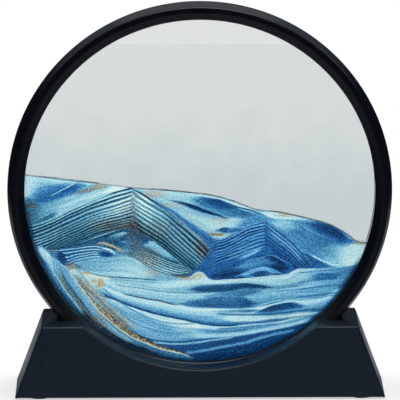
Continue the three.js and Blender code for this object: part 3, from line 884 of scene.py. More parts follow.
# %% Left dune
def paint_left_dune(sand):
    sand.band(SURFACE, CRESTS, (0.86, 0.6, 0.45, 0.5, 0.6), (0.95, 0.95, 0.9), teal=0.5)
    # Blue shade in the corner by the wall, with a thin teal line in it.
    sand.band(
        [(-81.5, 0.7), (-75, 1.4), (-60.5, 4), (-56, 5)],
        [(-81.5, -4.6), (-68.5, -1.7), (-59, 3.5), (-56, 4.9)],
        (0.62, 0.42, 0.32), (0.42, 0.28), teal=0.2, soft=2,
    )
    sand.stroke([(-74, 2.1), (-69, 2.8), (-58, 4.6)], 0.5, 0.45, teal=0.7, strength=0.7)
    # Dark blue lens with a pale line along its top.
    lens_foot = [
        (-81.5, -5.8), (-74, -5.3), (-68.5, -4.3), (-62.5, -2.3), (-57.5, -0.7), (-53, 1.3), (-50, 3.1),
    ]
    sand.band(
        [(-81.5, -3.6), (-69, -1.9), (-63, 0.9), (-58, 3.6), (-56, 5), (-50, 3.5)],
        lens_foot, (0.32, 0.36), (0.24, 0.4), teal=0.1, soft=1.2,
    )
    sand.stroke([(-71, -2.9), (-63, 1.1), (-60, 2.8), (-56.5, 5)], 0.4, 0.76)
    # Paler sand between the lens and the ridge, white near the peak.
    sand.band(lens_foot, CRESTS, (0.42, 0.5, 0.5, 0.5), (0.74, 0.8, 0.8), teal=0.6, soft=1.5)
    sand.band(
        [(-71, -8.4), (-64.5, -5.5), (-57.5, -2.7), (-46, 1.4), (-39, 1.9), (-32.5, 2.4)],
        [(-71, -10.8), (-64.5, -8.2), (-57.5, -5.3), (-51.5, -3.6), (-39, -0.5), (-32.5, 1.4)],
        (0.6, 0.72, 0.8), (0.76, 0.86, 0.86), teal=0.75, soft=1.2,
    )
    sand.band(
        [(-47, 0.2), (-40.5, 2.3), (-35, 3.3), (-31.5, 3.3)],
        [(-47, -2.4), (-40.5, -0.6), (-35, 0.7), (-31.5, 1.8)],
        (0.95, 0.95), (1, 1), teal=0.8, soft=0.8,
    )
    # Gold near the surface, and painted shade by the wall, with dark gold grains in it.
    sand.stroke([(-61, -2), (-51, 1), (-44.5, 2.1)], 1.1, 0.45, teal=0.8, gold=0.6, strength=0.5)
    sand.band(
        [(-86, -2.2), (-80, -2.4), (-76.5, -3.6), (-69.5, -7.9)],
        [(-86, -17.5), (-80, -16.5), (-76, -15.6), (-69.5, -9.3)],
        (0.3, 0.26, 0.22), (0.5, 0.5), teal=0.8, soft=2.5,
    )
    sand.dust((-78.5, -6.5), 4, 1.2, 0.7, gold=0.8, tone=0.14)
    sand.dust((-79.5, -11.3), 2.4, 1.5, 0.7, gold=0.8, tone=0.14)
    sand.dust((-46.5, 2.4), 4, 1.3, 0.75, tone=0.5)
    sand.dust((-52.5, 0.7), 4.5, 0.9, 0.5, tone=0.4)


print("left dune: a blue lens under a pale line, white near the peak")


# %% Right dune, lenses
def paint_right_dune(sand):
    # Edges of the two lenses and of the cream sand.
    lens_top = [
        (-7.5, -2.3), (0, -2.3), (4.5, -3.1), (9.5, -4), (15, -6.5), (18.5, -8.4), (24, -9.8),
        (29, -11.5),
    ]
    lens_foot = [(-7.5, -4.3), (2.5, -8.3), (7, -9.8), (11.5, -11.4), (17, -12.6), (29, -12)]
    thin_top = [(-17, -3.7), (-11.5, -4.1), (-2, -6.8), (2.5, -8.7), (7, -10.3), (11.5, -11.9), (17.5, -13)]
    thin_foot = [
        (-17, -4.1), (-11.5, -5), (-7, -6.6), (-2, -8.7), (2.5, -10.3), (7, -11.5), (11.5, -12.8),
        (17.5, -13.4),
    ]
    cream_foot = [
        (-30.5, 0.7), (-23, -3.1), (-16.5, -6), (-11.5, -9.1), (-7, -12.5), (-2, -16), (2.5, -18.9),
        (7.5, -19.1), (15, -18.2), (18.5, -16.5),
    ]
    # Pale ground, blue towards the right and along the ridge.
    sand.band(SURFACE, CRESTS, (0.9, 0.85, 0.7), (0.6, 0.48, 0.42), teal=0.5)
    sand.band(
        [(12, -10.8), (21, -10.3), (29, -11.7), (37.5, -14.1), (46.5, -14.6), (56.5, -15.6),
         (67.5, -22.2), (81, -25.6)],
        CRESTS, (0.56, 0.54), (0.34, 0.34, 0.48), teal=0.3, soft=2,
    )
    sand.band(cream_foot, CRESTS, (0.46, 0.38, 0.36), (0.42, 0.32), teal=0.12, soft=1.6, thread=0.12)
    sand.band(SURFACE, cream_foot, (0.92, 0.78, 0.7), (0.66, 0.62, 0.62, 0.66), teal=0.6, soft=1.6)
    sand.band(SURFACE, lens_top, (0.92, 0.85), (0.85, 0.8), teal=0.6, soft=0.8)
    # Wide lens with its darkest part near the top, then the thin lens under it.
    sand.band(lens_top, lens_foot, (0.38, 0.4, 0.46), (0.26, 0.36, 0.44), teal=0.4, soft=1.1)
    sand.band(
        [(-1.5, -2.7), (3.5, -3), (9, -4.1), (13.5, -5.9), (18.5, -8.7)],
        [(-2, -3.9), (3.5, -6.7), (9, -8.6), (18.5, -9.3)],
        (0.16, 0.25, 0.36), (0.1, 0.16, 0.3), teal=0.2, soft=1.6,
    )
    sand.stroke([(-6.5, -4.9), (2.5, -7.9), (12, -11.5)], 0.5, 0.55, teal=0.5, strength=0.6)
    sand.band(thin_top, thin_foot, (0.1, 0.08), (0.06, 0.2), teal=0.2, soft=0.7)


print("right dune: two dark lenses over cream")


# %% Right dune, hollow
def paint_hollow(sand):
    # Cream sand in the hollow, with a small dark lens.
    sand.band(
        [(-14.5, -6.5), (-4.5, -9.2), (2.5, -11.5), (10.5, -13.4), (20.5, -14.4)],
        [(-14.5, -7.4), (-4.5, -13.4), (2.5, -18.4), (6.5, -22.1), (13, -21.8), (20.5, -17.5)],
        (0.64, 0.72, 0.76), (0.74, 0.8, 0.78), teal=0.75, gold=0.08, soft=2.5,
    )
    sand.band(
        [(4, -18.6), (7.5, -17.7), (11, -17.1), (15, -17.1), (19.5, -17.5), (24, -17.9)],
        [(4, -18.9), (11, -19.7), (19.5, -19.1), (24, -18.2)],
        (0.14, 0.28), (0.3, 0.42), teal=0.2, soft=0.8,
    )
    sand.band(
        [(17.5, -15.6), (22, -13.2), (26, -12.3), (29.5, -12.4), (32.5, -14.1)],
        CRESTS, (0.42, 0.52), teal=0.35, soft=0.9,
    )
    sand.band(
        [(9.5, -13.2), (14, -12.6), (18.5, -12.2), (23, -11.5)],
        [(9.5, -17.5), (14, -17.9), (18.5, -16), (23, -13)],
        (0.86, 0.84), (0.7, 0.62), teal=0.6, soft=2,
    )
    # Gold lines and gold grains.
    sand.stroke(
        [(2.5, -18.7), (5.5, -20), (9, -20.5), (13.5, -20.3)],
        1, 0.4, teal=0.8, gold=0.6, strength=0.75,
    )
    sand.dust((7.5, -20.3), 4.5, 1.1, 0.55, tone=0.34)
    sand.dust((-22, -1), 6.5, 2.2, 0.6, tone=0.5)
    sand.dust((-13, -6.2), 7, 1.7, 0.35, tone=0.55)
    sand.dust((10.5, -14.1), 6, 2, 0.25, tone=0.7)
    sand.stroke(
        [(-16.5, -7.2), (-8.5, -14.1), (-4.5, -18.4), (2, -24.4), (5, -28.4)],
        0.7, 0.6, teal=0.7, gold=0.45, strength=0.7,
    )


print("hollow: cream sand with a small dark lens, and gold along the ridge")


# %% Right dune, right end
def paint_dune_end(sand):
    # Pale rim along the surface, a pale patch under it and a dark line to the left.
    surface_foot = [(24, -9.4), (28, -10.6), (30.5, -12), (46.5, -13.8), (53, -14.4)]
    sand.band(SURFACE, surface_foot, (0.82, 0.9, 0.85), (0.85, 0.8), teal=0.8, soft=0.7)
    sand.band(
        [(29.5, -12.2), (37, -13.6), (48.5, -15.3)],
        [(29.5, -14.1), (37, -18.4), (48.5, -18.9)],
        (0.8, 0.74, 0.56), (0.72, 0.54), teal=0.55, soft=1.5,
    )
    sand.stroke([(10.5, -4.3), (15, -6.5), (26, -9.8), (30.5, -12.1)], 0.6, 0.2, teal=0.5)
    # Dark lens along the surface, with paler streaks along its foot and below.
    lens_top = [(45.5, -14.4), (53.5, -14.2), (61, -16), (67.5, -20.2), (72.5, -24)]
    sand.band(
        lens_top,
        [(45.5, -15.1), (52, -18.4), (58, -21.3), (63.5, -23.9), (67.5, -25.3), (72.5, -24.5)],
        (0.36, 0.3, 0.4), (0.2, 0.14, 0.34), teal=0.1, soft=1.6,
    )
    sand.band(
        [(49, -14.3), (54.5, -14.4), (61, -16.2), (67.5, -20.3), (71.5, -23.4)],
        [(49, -16), (55, -19.1), (67.5, -23.4), (71.5, -23.8)],
        (0.26, 0.18, 0.24), (0.22, 0.08, 0.12), teal=0.1, soft=1.6,
    )
    streak = [(44.5, -14.8), (50.5, -18.2), (55, -20.4), (60.5, -23.7)]
    for shift in (0, 4.5, 9, 13.5):
        sand.stroke(moved(streak, -shift / 2, -shift), 0.5, 0.54, strength=0.5)
    sand.stroke([(45, -15.1), (49, -17.4), (53, -19.6)], 0.5, 0.66)
    # Slope that turns white towards the wall, with dark sand and a pale line at its foot.
    slope_top = [(49, -27), (56.5, -26.1), (63, -25.3), (68, -25.5), (73, -24.4), (81.5, -24.2)]
    sand.band(
        slope_top,
        [(49.5, -28), (55, -31.3), (60.5, -34.7), (65, -36.1), (70.5, -35.6), (81.5, -32.7)],
        (0.42, 0.46, 0.6), (0.9, 0.98, 0.95), teal=0.55, soft=3,
    )
    sand.band(
        [(61.5, -25.8), (68, -25.6), (73, -24.6), (81.5, -24.2)],
        [(61.5, -33.7), (65, -35.9), (70.5, -35.4), (81.5, -32.7)],
        (0.74, 0.78, 0.9), (0.92, 0.96, 0.95), teal=0.7, soft=2.5,
    )
    sand.band(
        [(43.5, -28.9), (49.5, -29.6), (55, -32.2), (59, -34.6), (63, -36)],
        CRESTS, (0.24, 0.2), (0.36, 0.4), teal=0.15,
    )
    sand.stroke([(49.5, -29.2), (53, -31.1), (62, -35), (67, -35.8)], 0.9, 0.82)
    # Gold grains just under the surface.
    sand.dust((74.5, -24.4), 4, 1.2, 0.75, tone=0.45)
    sand.dust((39.5, -11.3), 6, 1.1, 0.6, tone=0.5)


print("right end: a dark lens along the surface and a slope that turns white under it")

# %% Edges of the sand
WALL_SHADE = 2.6
SHADE_TOP_LEFT = -3
SHADE_TOP_RIGHT = -28
SHADE_FADE = 12


def paint_wall_shade(sand):
    # Painted shade: the sand is darkened within a few millimetres of the wall, from a set height downwards on
    # each side.
    reach = np.hypot(sand.x, sand.z)
    shade_top = np.where(sand.x < 0, SHADE_TOP_LEFT, SHADE_TOP_RIGHT)
    low = ease((shade_top - sand.z) / SHADE_FADE)
    sand.lay(0.85 * low * ease((reach - CHAMBER_RADIUS + WALL_SHADE) / WALL_SHADE), 0.08, 0.6)


def paint_surface(sand):
    sand.stroke(moved(SURFACE, 0, -0.15), 0.45, 0.28, teal=0.8, gold=0.45, strength=0.85)


print("edges: a thin olive line on the surface and dark grains", WALL_SHADE, "mm wide along the wall")

# %% [markdown]
# ## Ridges
# Two ridges stand in front of the dunes. Where sand slides down a slope in small runs, each run leaves a thin
# dark line, so both flanks are ruled with lines that follow the crest. The runs are not all of one size, so
# the lines lie closer in some places. The left ridge is teal with white between its lines near the top. The
# right one is royal blue.

# %% Left ridge, left flank
LEFT_RUNS = (0, 0.105, 0.185, 0.315, 0.41, 0.485, 0.56, 0.645, 0.735, 0.8, 0.855, 0.935, 1)


def paint_left_flank(sand):
    sand.lay(1, 0.74, 0.7)
    sand.stroke(
        [(-83.5, -16), (-77, -14.3), (-71, -12.1), (-64.5, -8.9)],
        2.8, 0.32, teal=0.8, strength=0.9,
    )
    # Dark lines between crest and foot; the gaps turn white near the peak.
    crest = [
        (-83.5, -17.9), (-78.5, -16.7), (-74, -15.4), (-69, -13.5), (-64.5, -11.4), (-60, -9.1),
        (-55.5, -7.2), (-51, -5.1), (-47.5, -3.7), (-41.5, -1.3), (-33.5, 1), (-30.5, 2.1),
    ]
    foot = [
        (-83.5, -34.7), (-79, -33.5), (-74, -32.1), (-69, -30.4), (-65, -28), (-60, -25.6),
        (-55.5, -23.8), (-51, -22.1), (-47.5, -20.8), (-41.5, -19.2), (-37, -18.1), (-33.5, -17.2),
        (-30.5, -16.5),
    ]
    gaps = [
        (0.6, 0.56, 0.58, 0.68, 0.62, 0.6, 0.52, 0.42, 0.32),
        (0.8, 0.58, 0.62, 0.56, 0.56, 0.58, 0.52, 0.42, 0.28),
        (0.76, 1, 1, 0.95, 0.98, 0.78, 0.6, 0.44, 0.26),
    ]
    lines = [(0.05, 0, 0, 0, 0, 0, 0), (0.26, 0.26, 0.38, 0.34, 0.22, 0.1, 0.04, 0)]
    sand.layers(crest, foot, LEFT_RUNS, gaps, lines, teal=0.75)


print("left flank:", len(LEFT_RUNS), "lines under the crest")

# %% Left ridge, right flank
RIGHT_RUNS = (0, 0.125, 0.275, 0.39, 0.49, 0.6, 0.71, 0.8, 0.9, 1)


def paint_right_flank(sand):
    # Lines of the same kind on the other flank, down from the peak to the right.
    flank = [
        (-31.5, 2.4), (-27, -0.8), (-22.5, -3.5), (-16, -7.9), (-13, -10.7), (-2, -20.2), (2.5, -24.9),
        (6, -28.9),
    ]
    flank_foot = [
        (-31.5, -17.5), (-27, -20.3), (-22.5, -23), (-16, -27.5), (-13, -30.4), (-9, -33.7),
        (2.5, -44.2), (6, -48),
    ]
    gaps = [
        (0.5, 1, 0.75, 0.5, 0.24), (1, 1, 0.82, 0.58, 0.3), (0.5, 0.86, 0.6, 0.54, 0.34),
        (0.44, 0.64, 0.6, 0.54, 0.36), (0.54, 0.66, 0.64, 0.56, 0.36), (0.5, 0.64, 0.62, 0.52, 0.32),
        (0.44, 0.56, 0.58, 0.46, 0.26),
    ]
    lines = [(0.2, 0.5, 0.6, 0.4, 0.24, 0.12, 0, 0), (0, 0)]
    sand.layers(flank, flank_foot, RIGHT_RUNS, gaps, lines, teal=0.8)
    # Dark edge over the peak, and a trace of gold in three places.
    sand.stroke(
        [(-42.5, -1.2), (-33, 1.4), (-31, 2.2), (-28.5, 0.5), (-25, -2), (-19.5, -5.8)],
        0.8, 0.1, teal=0.8,
    )
    sand.tint((1.5, -26.1), 5, 6, 1, 0.2)
    sand.stroke(
        [(-35, 0.2), (-32.5, 1.4), (-31, 1.8), (-29.5, 0.9), (-26.5, -1.5)],
        1.5, 0.14, teal=0.8, strength=0.7,
    )
    sand.tint((-40.5, -16.5), 12, 4, 0.9, 0.25)
    sand.tint((-23, -18.4), 10, 5, 0.9, 0.15)


print("right flank:", len(RIGHT_RUNS), "lines, and a dark edge along the crest")


# %% Left ridge, scattered grains
def paint_ridge_grains(sand):
    # A trail of grains straight down from the peak.
    for depth in range(10):
        place_mm = (-31 + 0.6 * math.sin(1.7 * depth), -2 * depth - 1.5)
        sand.dust(place_mm, 1.9, 1.7, 0.45 + 0.03 * depth, gold=0.4, tone=0.6 - 0.045 * depth)
    # More grains at the end of the trail and over the flanks.
    sand.dust((-31.5, -16.5), 3.4, 2.6, 0.85, gold=0.8, tone=0.16)
    sand.dust((2, -27), 4, 5, 0.4, gold=0.6, tone=0.12)
    sand.dust((-65, -19.4), 12, 5, 0.12, gold=0.3, tone=0.12)
    sand.dust((-33, -9.8), 5, 9, 0.2, gold=0.7, tone=0.4)
    sand.dust((-14, -22.2), 12, 9, 0.14, gold=0.5, tone=0.2)


print("left ridge: gold and dark grains down its middle and over its flanks")


# %% Slope under the left ridge, hill and wedge
def paint_lower_slope(sand):
    # Ground that turns paler from its top to its foot, then a strip and a dark patch left of the peak.
    top = [
        (-83.5, -28.9), (-75.5, -26.7), (-69, -26.6), (-64, -26.5), (-58.5, -25), (-48.5, -21.6),
        (-41.5, -19.6), (-31.5, -17.5), (-25.5, -21), (-21, -23.2), (-18, -26.1), (-14, -30.1),
        (-9, -33.9), (-2, -37.3),
    ]
    sand.band(top, RIDGE_FEET, (0.2, 0.36, 0.58, 0.7), (0.2, 0.34, 0.44), teal=0.65, thread=0.16)
    sand.band(
        [(-46, -22.9), (-41.5, -20.8), (-37, -19.4), (-33.5, -18.6), (-30.5, -19.2)],
        [(-46, -23.9), (-33.5, -20.6), (-30.5, -19.9)],
        (0.38, 0.34), (0.88, 0.66), teal=0.8, soft=0.8,
    )
    sand.band(
        [(-47, -24.2), (-42.5, -23.2), (-38, -22.7), (-33.5, -22.7)],
        [(-47, -26.1), (-42.5, -27), (-38, -28), (-33.5, -28)],
        (0.26, 0.3), (0.26, 0.34), teal=0.75, soft=2,
    )
    # Pale hill under the right flank.
    hill = [
        (-29.5, -27), (-26.5, -24.4), (-23.5, -23.3), (-21, -23.7), (-18.5, -25.8), (-15, -28.8),
        (-12.5, -31.6), (-9, -34.2),
    ]
    sand.band(
        hill,
        [(-29.5, -27.3), (-26.5, -27.2), (-23, -27.5), (-20, -29.1), (-16.5, -31.3), (-13, -33.2),
         (-9, -34.5)],
        (0.78, 0.66, 0.56), (0.74, 0.62), teal=0.6, soft=0.9,
    )
    sand.stroke([(-22.5, -24), (-18.5, -26.3), (-14.5, -29.7), (-10, -33.5)], 0.8, 0.66, teal=0)
    # Wedge of thin lines under the hill.
    wedge_runs = np.linspace(0, 1, 8)
    wedge_top = [
        (-34, -28.9), (-28.5, -28.2), (-23, -29.2), (-18.5, -31.1), (-13, -33.5), (-7.5, -35.4),
        (-1, -38),
    ]
    wedge_foot = [(-34, -30.8), (-28.5, -34), (-18.5, -39.1), (-13, -40.9), (-7.5, -41.3), (-1, -39)]
    sand.layers(
        wedge_top, wedge_foot, wedge_runs, ((0.52, 0.56, 0.62), (0.68, 0.76, 0.78), (0.68, 0.66)),
        ((0.26, 0.32), (0.2, 0.24), (0.08, 0.14)), teal=0.8,
    )
    sand.tint((-25, -32.3), 7, 6, 1, 0.16)


print("lower slope: a pale hill and a striped wedge")


# %% Slope under the left ridge, small dune
def paint_small_dune(sand):
    # Striped dune, dark at both ends.
    small_top = [
        (-70, -27.5), (-65.5, -27.2), (-62, -26.8), (-55, -26.1), (-48, -25.5), (-44, -26.8),
        (-40.5, -28.2), (-38, -30.4),
    ]
    small_foot = [
        (-70, -29.2), (-67.5, -31.8), (-62.5, -34.9), (-57.5, -33.2), (-52.5, -32.3), (-46, -31.3),
        (-40.5, -30.8), (-38, -30.5),
    ]
    small_runs = np.linspace(0, 1, 6)
    sand.layers(
        small_top, small_foot, small_runs, ((0.66, 0.62, 0.5), (0.84, 0.78)), ((0.2, 0.2), (0.24, 0.2)),
        teal=0.3,
    )
    sand.band(
        [(-67.5, -28), (-65, -28.2), (-62, -30.4), (-60.5, -32.7)],
        [(-67.5, -31.3), (-65, -33.7), (-62, -34.9), (-60.5, -34.2)],
        (0.14, 0.2), teal=0.3, soft=1,
    )
    sand.band(
        [(-48.5, -27.5), (-46, -27.8), (-42.5, -28.6), (-38, -30.4)],
        [(-48.5, -30.2), (-46, -30.8), (-42.5, -31), (-38, -30.6)],
        (0.12, 0.22), teal=0.1, soft=0.8,
    )
    # White tip, with gold above it.
    sand.stroke([(-46.5, -26.3), (-42.5, -27.3), (-40, -28.7), (-37.5, -30.6)], 0.8, 1, teal=0.6)
    sand.stroke(
        [(-49.5, -25.3), (-46, -24.3), (-42, -25.2), (-38.5, -26.8), (-34, -28.9)],
        1.2, 0.6, teal=0.6, gold=0.6,
    )
    sand.stroke([(-47, -26), (-43, -26.1), (-38, -28)], 0.7, 0.2, teal=0.8, gold=0.3)
    # Gold grains, and a gold line along the foot of the wedge.
    sand.dust((-30.5, -23.2), 4, 8, 0.4, gold=0.7, tone=0.26)
    sand.dust((-25, -32.7), 8, 6, 0.22, gold=0.7, tone=0.3)
    sand.stroke(
        [(-28.5, -33.9), (-25, -36.8), (-15, -40.9), (-9, -41.3), (-4.5, -40.2)],
        0.8, 0.5, teal=0.8, gold=0.75,
    )
    sand.stroke([(-15, -39.7), (-10, -40.1), (-5.5, -39.4), (-2, -37.8)], 1.4, 0.26, teal=0.8)
    sand.dust((-10, -40.9), 6, 1.2, 0.6, tone=0.4)
    sand.dust((-69.5, -27.5), 4, 0.9, 0.4, tone=0.3)
    sand.dust((-60, -34.9), 2.6, 1.6, 0.85, tone=0.26)
    # Dark corner at the foot of the dune.
    sand.band(
        [(-60, -33.2), (-56.5, -33), (-53, -33.7), (-48, -34.7)],
        [(-60, -35.6), (-56.5, -37), (-53, -37.2), (-48, -36.6)],
        (0.18, 0.24), (0.5, 0.55), teal=0.8, soft=1,
    )


print("small dune: a striped dune with a white tip, and gold around it")


# %% Right ridge, flanks
def paint_right_ridge(sand):
    sand.lay(1, 0.32, 0)
    # Left flank: runs with dark lines, and pale strokes over them.
    crest = [
        (-2.5, -36.6), (4, -33.7), (6, -26.1), (11.5, -22.7), (17.5, -19.6), (22.5, -17.1), (27, -15.5),
        (30.5, -14.5),
    ]
    foot = [(-2.5, -39), (5.5, -36.1), (11.5, -33.5), (18.5, -30.6), (25.5, -28), (30.5, -26.5)]
    runs = (0, 0.11, 0.23, 0.34, 0.5, 0.62, 0.74, 0.86, 1)
    sand.layers(
        crest, foot, runs, ((0.42, 0.46, 0.46), (0.7, 0.58, 0.5, 0.48)), ((0.06, 0.06), (0.14, 0.12)),
        teal=0,
    )
    for rise, bright in ((0.4, 0.62), (1.9, 0.6), (3.5, 0.52), (6.4, 0.44), (8.6, 0.4)):
        sand.stroke(moved(foot[2:], 0, rise), 0.5, bright)
    sand.stroke([(17, -32.5), (21.5, -30.6), (30, -26.5)], 1.4, 0.66, teal=0.2)
    # Right flank, where the sand has slipped.
    slip = [(30, -14.4), (33.5, -16.5), (36.5, -18.9), (41, -22.5), (45, -26.8), (49, -31.3), (53, -36.6)]
    slip_foot = [
        (30, -24.6), (33.5, -28), (36.5, -30.8), (41, -34.2), (45, -37.5), (49, -40.9), (53, -45.2),
    ]
    slip_runs = np.linspace(0, 1, 8)
    sand.layers(slip, slip_foot, slip_runs, ((0.5, 0.42, 0.32), (0.38, 0.32, 0.24)), [(0.16, 0.1)], teal=0)
    for drop, bright in ((1.5, 0.62), (3.3, 0.72), (5, 0.5)):
        sand.stroke(moved(slip[:-1], 0, -drop), 0.5, bright)


print("right ridge: royal blue flanks with pale lines")


# %% Right ridge, hill at its foot
def paint_dark_hill(sand):
    # Dark hill with a paler middle and a pale line on its crest.
    bottom = [(-0.5, -41.1), (11.5, -41.8), (23.5, -40.9), (35, -40.1), (42, -38.7), (45, -36.6)]
    hill = [
        (-0.5, -40.9), (11.5, -35.9), (18.5, -33.5), (24, -31.6), (28.5, -30.6), (32.5, -30.5),
        (37, -31.9), (43, -34.9), (45, -36.5),
    ]
    sand.band(hill, bottom, (0.28, 0.2, 0.14), (0.1, 0.06, 0.1), teal=0.15, thread=0.12)
    sand.band(
        [(13, -35.6), (18.5, -33.6), (24, -31.8), (29, -31.1), (34.5, -31.8), (39, -33.7)],
        [(13, -38.5), (18.5, -38.5), (24, -37), (29, -35.8), (34.5, -36.3), (39, -37.5)],
        (0.5, 0.46), (0.46, 0.34), teal=0.2, soft=1.4, thread=0.14,
    )
    sand.stroke(
        [(25, -32.5), (28.5, -31.3), (31.5, -30.5), (34.5, -30.9), (38, -32.7), (44, -35.6)],
        0.4, 0.58, teal=0.6, strength=0.8,
    )
    # Pale low crest with a dark hollow in it.
    low_crest = [(14, -40.9), (18.5, -38.9), (29.5, -35.8), (32.5, -35.9), (36.5, -37.3), (40.5, -39.4)]
    sand.band(
        low_crest,
        [(14, -41.6), (23.5, -40.9), (35, -40.1), (40.5, -39.5)],
        (0.7, 0.56), (0.72, 0.46), teal=0,
    )
    sand.band(
        [(20.5, -39.9), (26, -38.3), (30.5, -37.5), (35.5, -38.7)],
        [(20.5, -40.9), (30.5, -40.4), (35.5, -39.9)],
        (0.2, 0.24), teal=0.3, soft=0.8,
    )
    sand.stroke(moved(low_crest, 0, -0.9), 0.5, 0.6, strength=0.8)


print("dark hill: two low crests at the foot of the right ridge")

# %% [markdown]
# ## Drift and bed
# The newest sand has run down in front of everything. Each run is white at its top, turns blue further down
# and ends in a thin dark line, so the drift looks like folded cloth. The runs sweep from the upper left to
# the right and lie closer together towards the bottom. At the lower left the grains have run steeply along
# the wall and sorted themselves into bands of gold, olive, white and pale blue.

# %% Lines in the drift
HEAD_LINE = [
    (-64, -34.7), (-57.5, -37.3), (-50, -39.2), (-44.5, -40.3), (-32.5, -41.1), (-25.5, -41.5),
    (-18.5, -42.1),
]
UPPER_LINE = [
    (-62, -36.1), (-51, -40.9), (-41.5, -43.3), (-37, -44.7), (-29, -45.9), (-21, -47.1), (-14, -47.8),
    (-7, -48.3), (0, -48.3), (6, -48), (18.5, -47.3), (39.5, -45.9), (56, -43.7), (81.5, -38.5),
]
MID_LINE = [
    (-62, -36.1), (-52, -40.9), (-46.5, -44), (-42.5, -45.9), (-37, -48.2), (-32.5, -49.3), (-28, -50.4),
    (-23, -51.4), (-18.5, -52.1), (-14, -53.3), (-9, -54.2), (-2, -55), (8, -55.7), (18.5, -55.8),
    (27, -55), (35, -53.5), (46.5, -50.9), (81.5, -42.3),
]
DARK_LINE = [
    (-62, -36.6), (-55.5, -41.8), (-51, -45.9), (-46.5, -48.3), (-36, -53), (-28, -56.1), (-23, -57.8),
    (-15.5, -59.7), (-8.5, -61.2), (-2, -62.6), (5, -63.8), (13, -64.2), (20, -63.7), (37, -61.9),
    (56, -57.1), (81.5, -49),
]
SOFT_LINE = [
    (-60.5, -39.4), (-55.5, -44.7), (-48.5, -50.4), (-42, -55.2), (-32.5, -60.2), (-23, -64),
    (-14, -66.4), (-4.5, -67.6), (16.5, -67.1), (29, -65.5), (56, -59.5), (81.5, -52.8),
]
LOW_LINE = [
    (-60.5, -39.9), (-53.5, -47.1), (-48, -52.8), (-41, -58.5), (-34.5, -64.3), (-29, -68.1),
    (-23, -70.5), (-16, -71.4), (-9, -71.6), (-2, -71), (5, -70.3), (18.5, -68.2), (28.5, -66.4),
    (42, -63.3), (60.5, -58.1), (81.5, -52.8),
]
print("lines in the drift:", len((HEAD_LINE, UPPER_LINE, MID_LINE, DARK_LINE, SOFT_LINE, LOW_LINE)))


# %% Drift
def paint_drift(sand):
    # Top of the drift, under the ridges.
    sand.band(
        RIDGE_FEET, UPPER_LINE, (0.62, 0.66, 0.78, 0.8), (0.62, 0.62, 0.5, 0.42), teal=0.65, thread=0.1,
    )
    sand.band(RIDGE_FEET, HEAD_LINE, (0.5, 0.58, 0.66), (0.76, 0.84, 0.8), teal=0.6, thread=0.12)
    sand.band(
        [(-28, -42.3), (-18.5, -42.5), (0, -41.8), (7, -42.3)],
        [(-28, -45.2), (-18.5, -45.9), (-9, -45.4), (0, -44), (7, -43.5)],
        (0.74, 0.8, 0.78), (0.9, 0.88), teal=0.55, soft=1.4,
    )
    sand.stroke(HEAD_LINE, 0.5, 0.25, teal=0.8)
    sand.stroke(moved(HEAD_LINE[3:], 0, -1.3), 0.4, 0.5, teal=0.8, strength=0.7)
    # One run after another, each darker towards its foot, and two pale patches.
    sand.band(UPPER_LINE, MID_LINE, (0.88, 0.8, 0.68), (0.64, 0.56, 0.48, 0.36), teal=0.5, thread=0.1)
    sand.band(MID_LINE, DARK_LINE, (0.95, 0.82, 0.6, 0.36), (0.95, 0.84, 0.58, 0.3), teal=0.3)
    sand.band(DARK_LINE, SOFT_LINE, (0.9, 0.78, 0.6, 0.6), (0.95, 0.62, 0.4), teal=0.35, thread=0.12)
    sand.band(
        [(-30, -56.1), (-23, -58.3), (-15.5, -60.3), (-8.5, -61.7), (-2, -63.1), (5.5, -64.3)],
        [(-30, -57.1), (-23, -60.9), (-15.5, -63.3), (-8.5, -65), (-2, -65.7), (5.5, -65.5)],
        (0.8, 0.86, 0.8), (0.98, 1, 0.92), teal=0.6, soft=1.2,
    )
    sand.band(SOFT_LINE, LOW_LINE, (0.68, 0.66, 0.6), (0.6, 0.5, 0.4), teal=0.3, thread=0.12)
    sand.band(
        [(-17.5, -62.6), (-10, -64.7), (-2, -66), (7.5, -66.7)],
        [(-17.5, -65.2), (-10, -67.8), (-2, -69.2), (7.5, -69)],
        (0.76, 0.72), (0.74, 0.68), teal=0.4, soft=1.6,
    )
    sand.band(
        LOW_LINE,
        [(-65, -86.2), (81.5, -86.2)],
        (0.34, 0.24, 0.14, 0.06), (0.22, 0.12, 0.05), teal=0.15, thread=0.08,
    )
    # Thin dark lines where the runs end.
    sand.stroke(UPPER_LINE[2:], 0.45, 0.4, teal=0.8, gold=0.15, strength=0.7)
    sand.stroke(MID_LINE[4:11], 0.6, 0.24, teal=0.7, gold=0.2)
    sand.stroke(moved(DARK_LINE[3:13], 0, 0.3), 0.8, 0.1, teal=0.3, strength=0.8)
    sand.stroke(LOW_LINE[4:12], 0.6, 0.2, teal=0.3, strength=0.8)


print("drift: runs of sand that turn from white to blue")


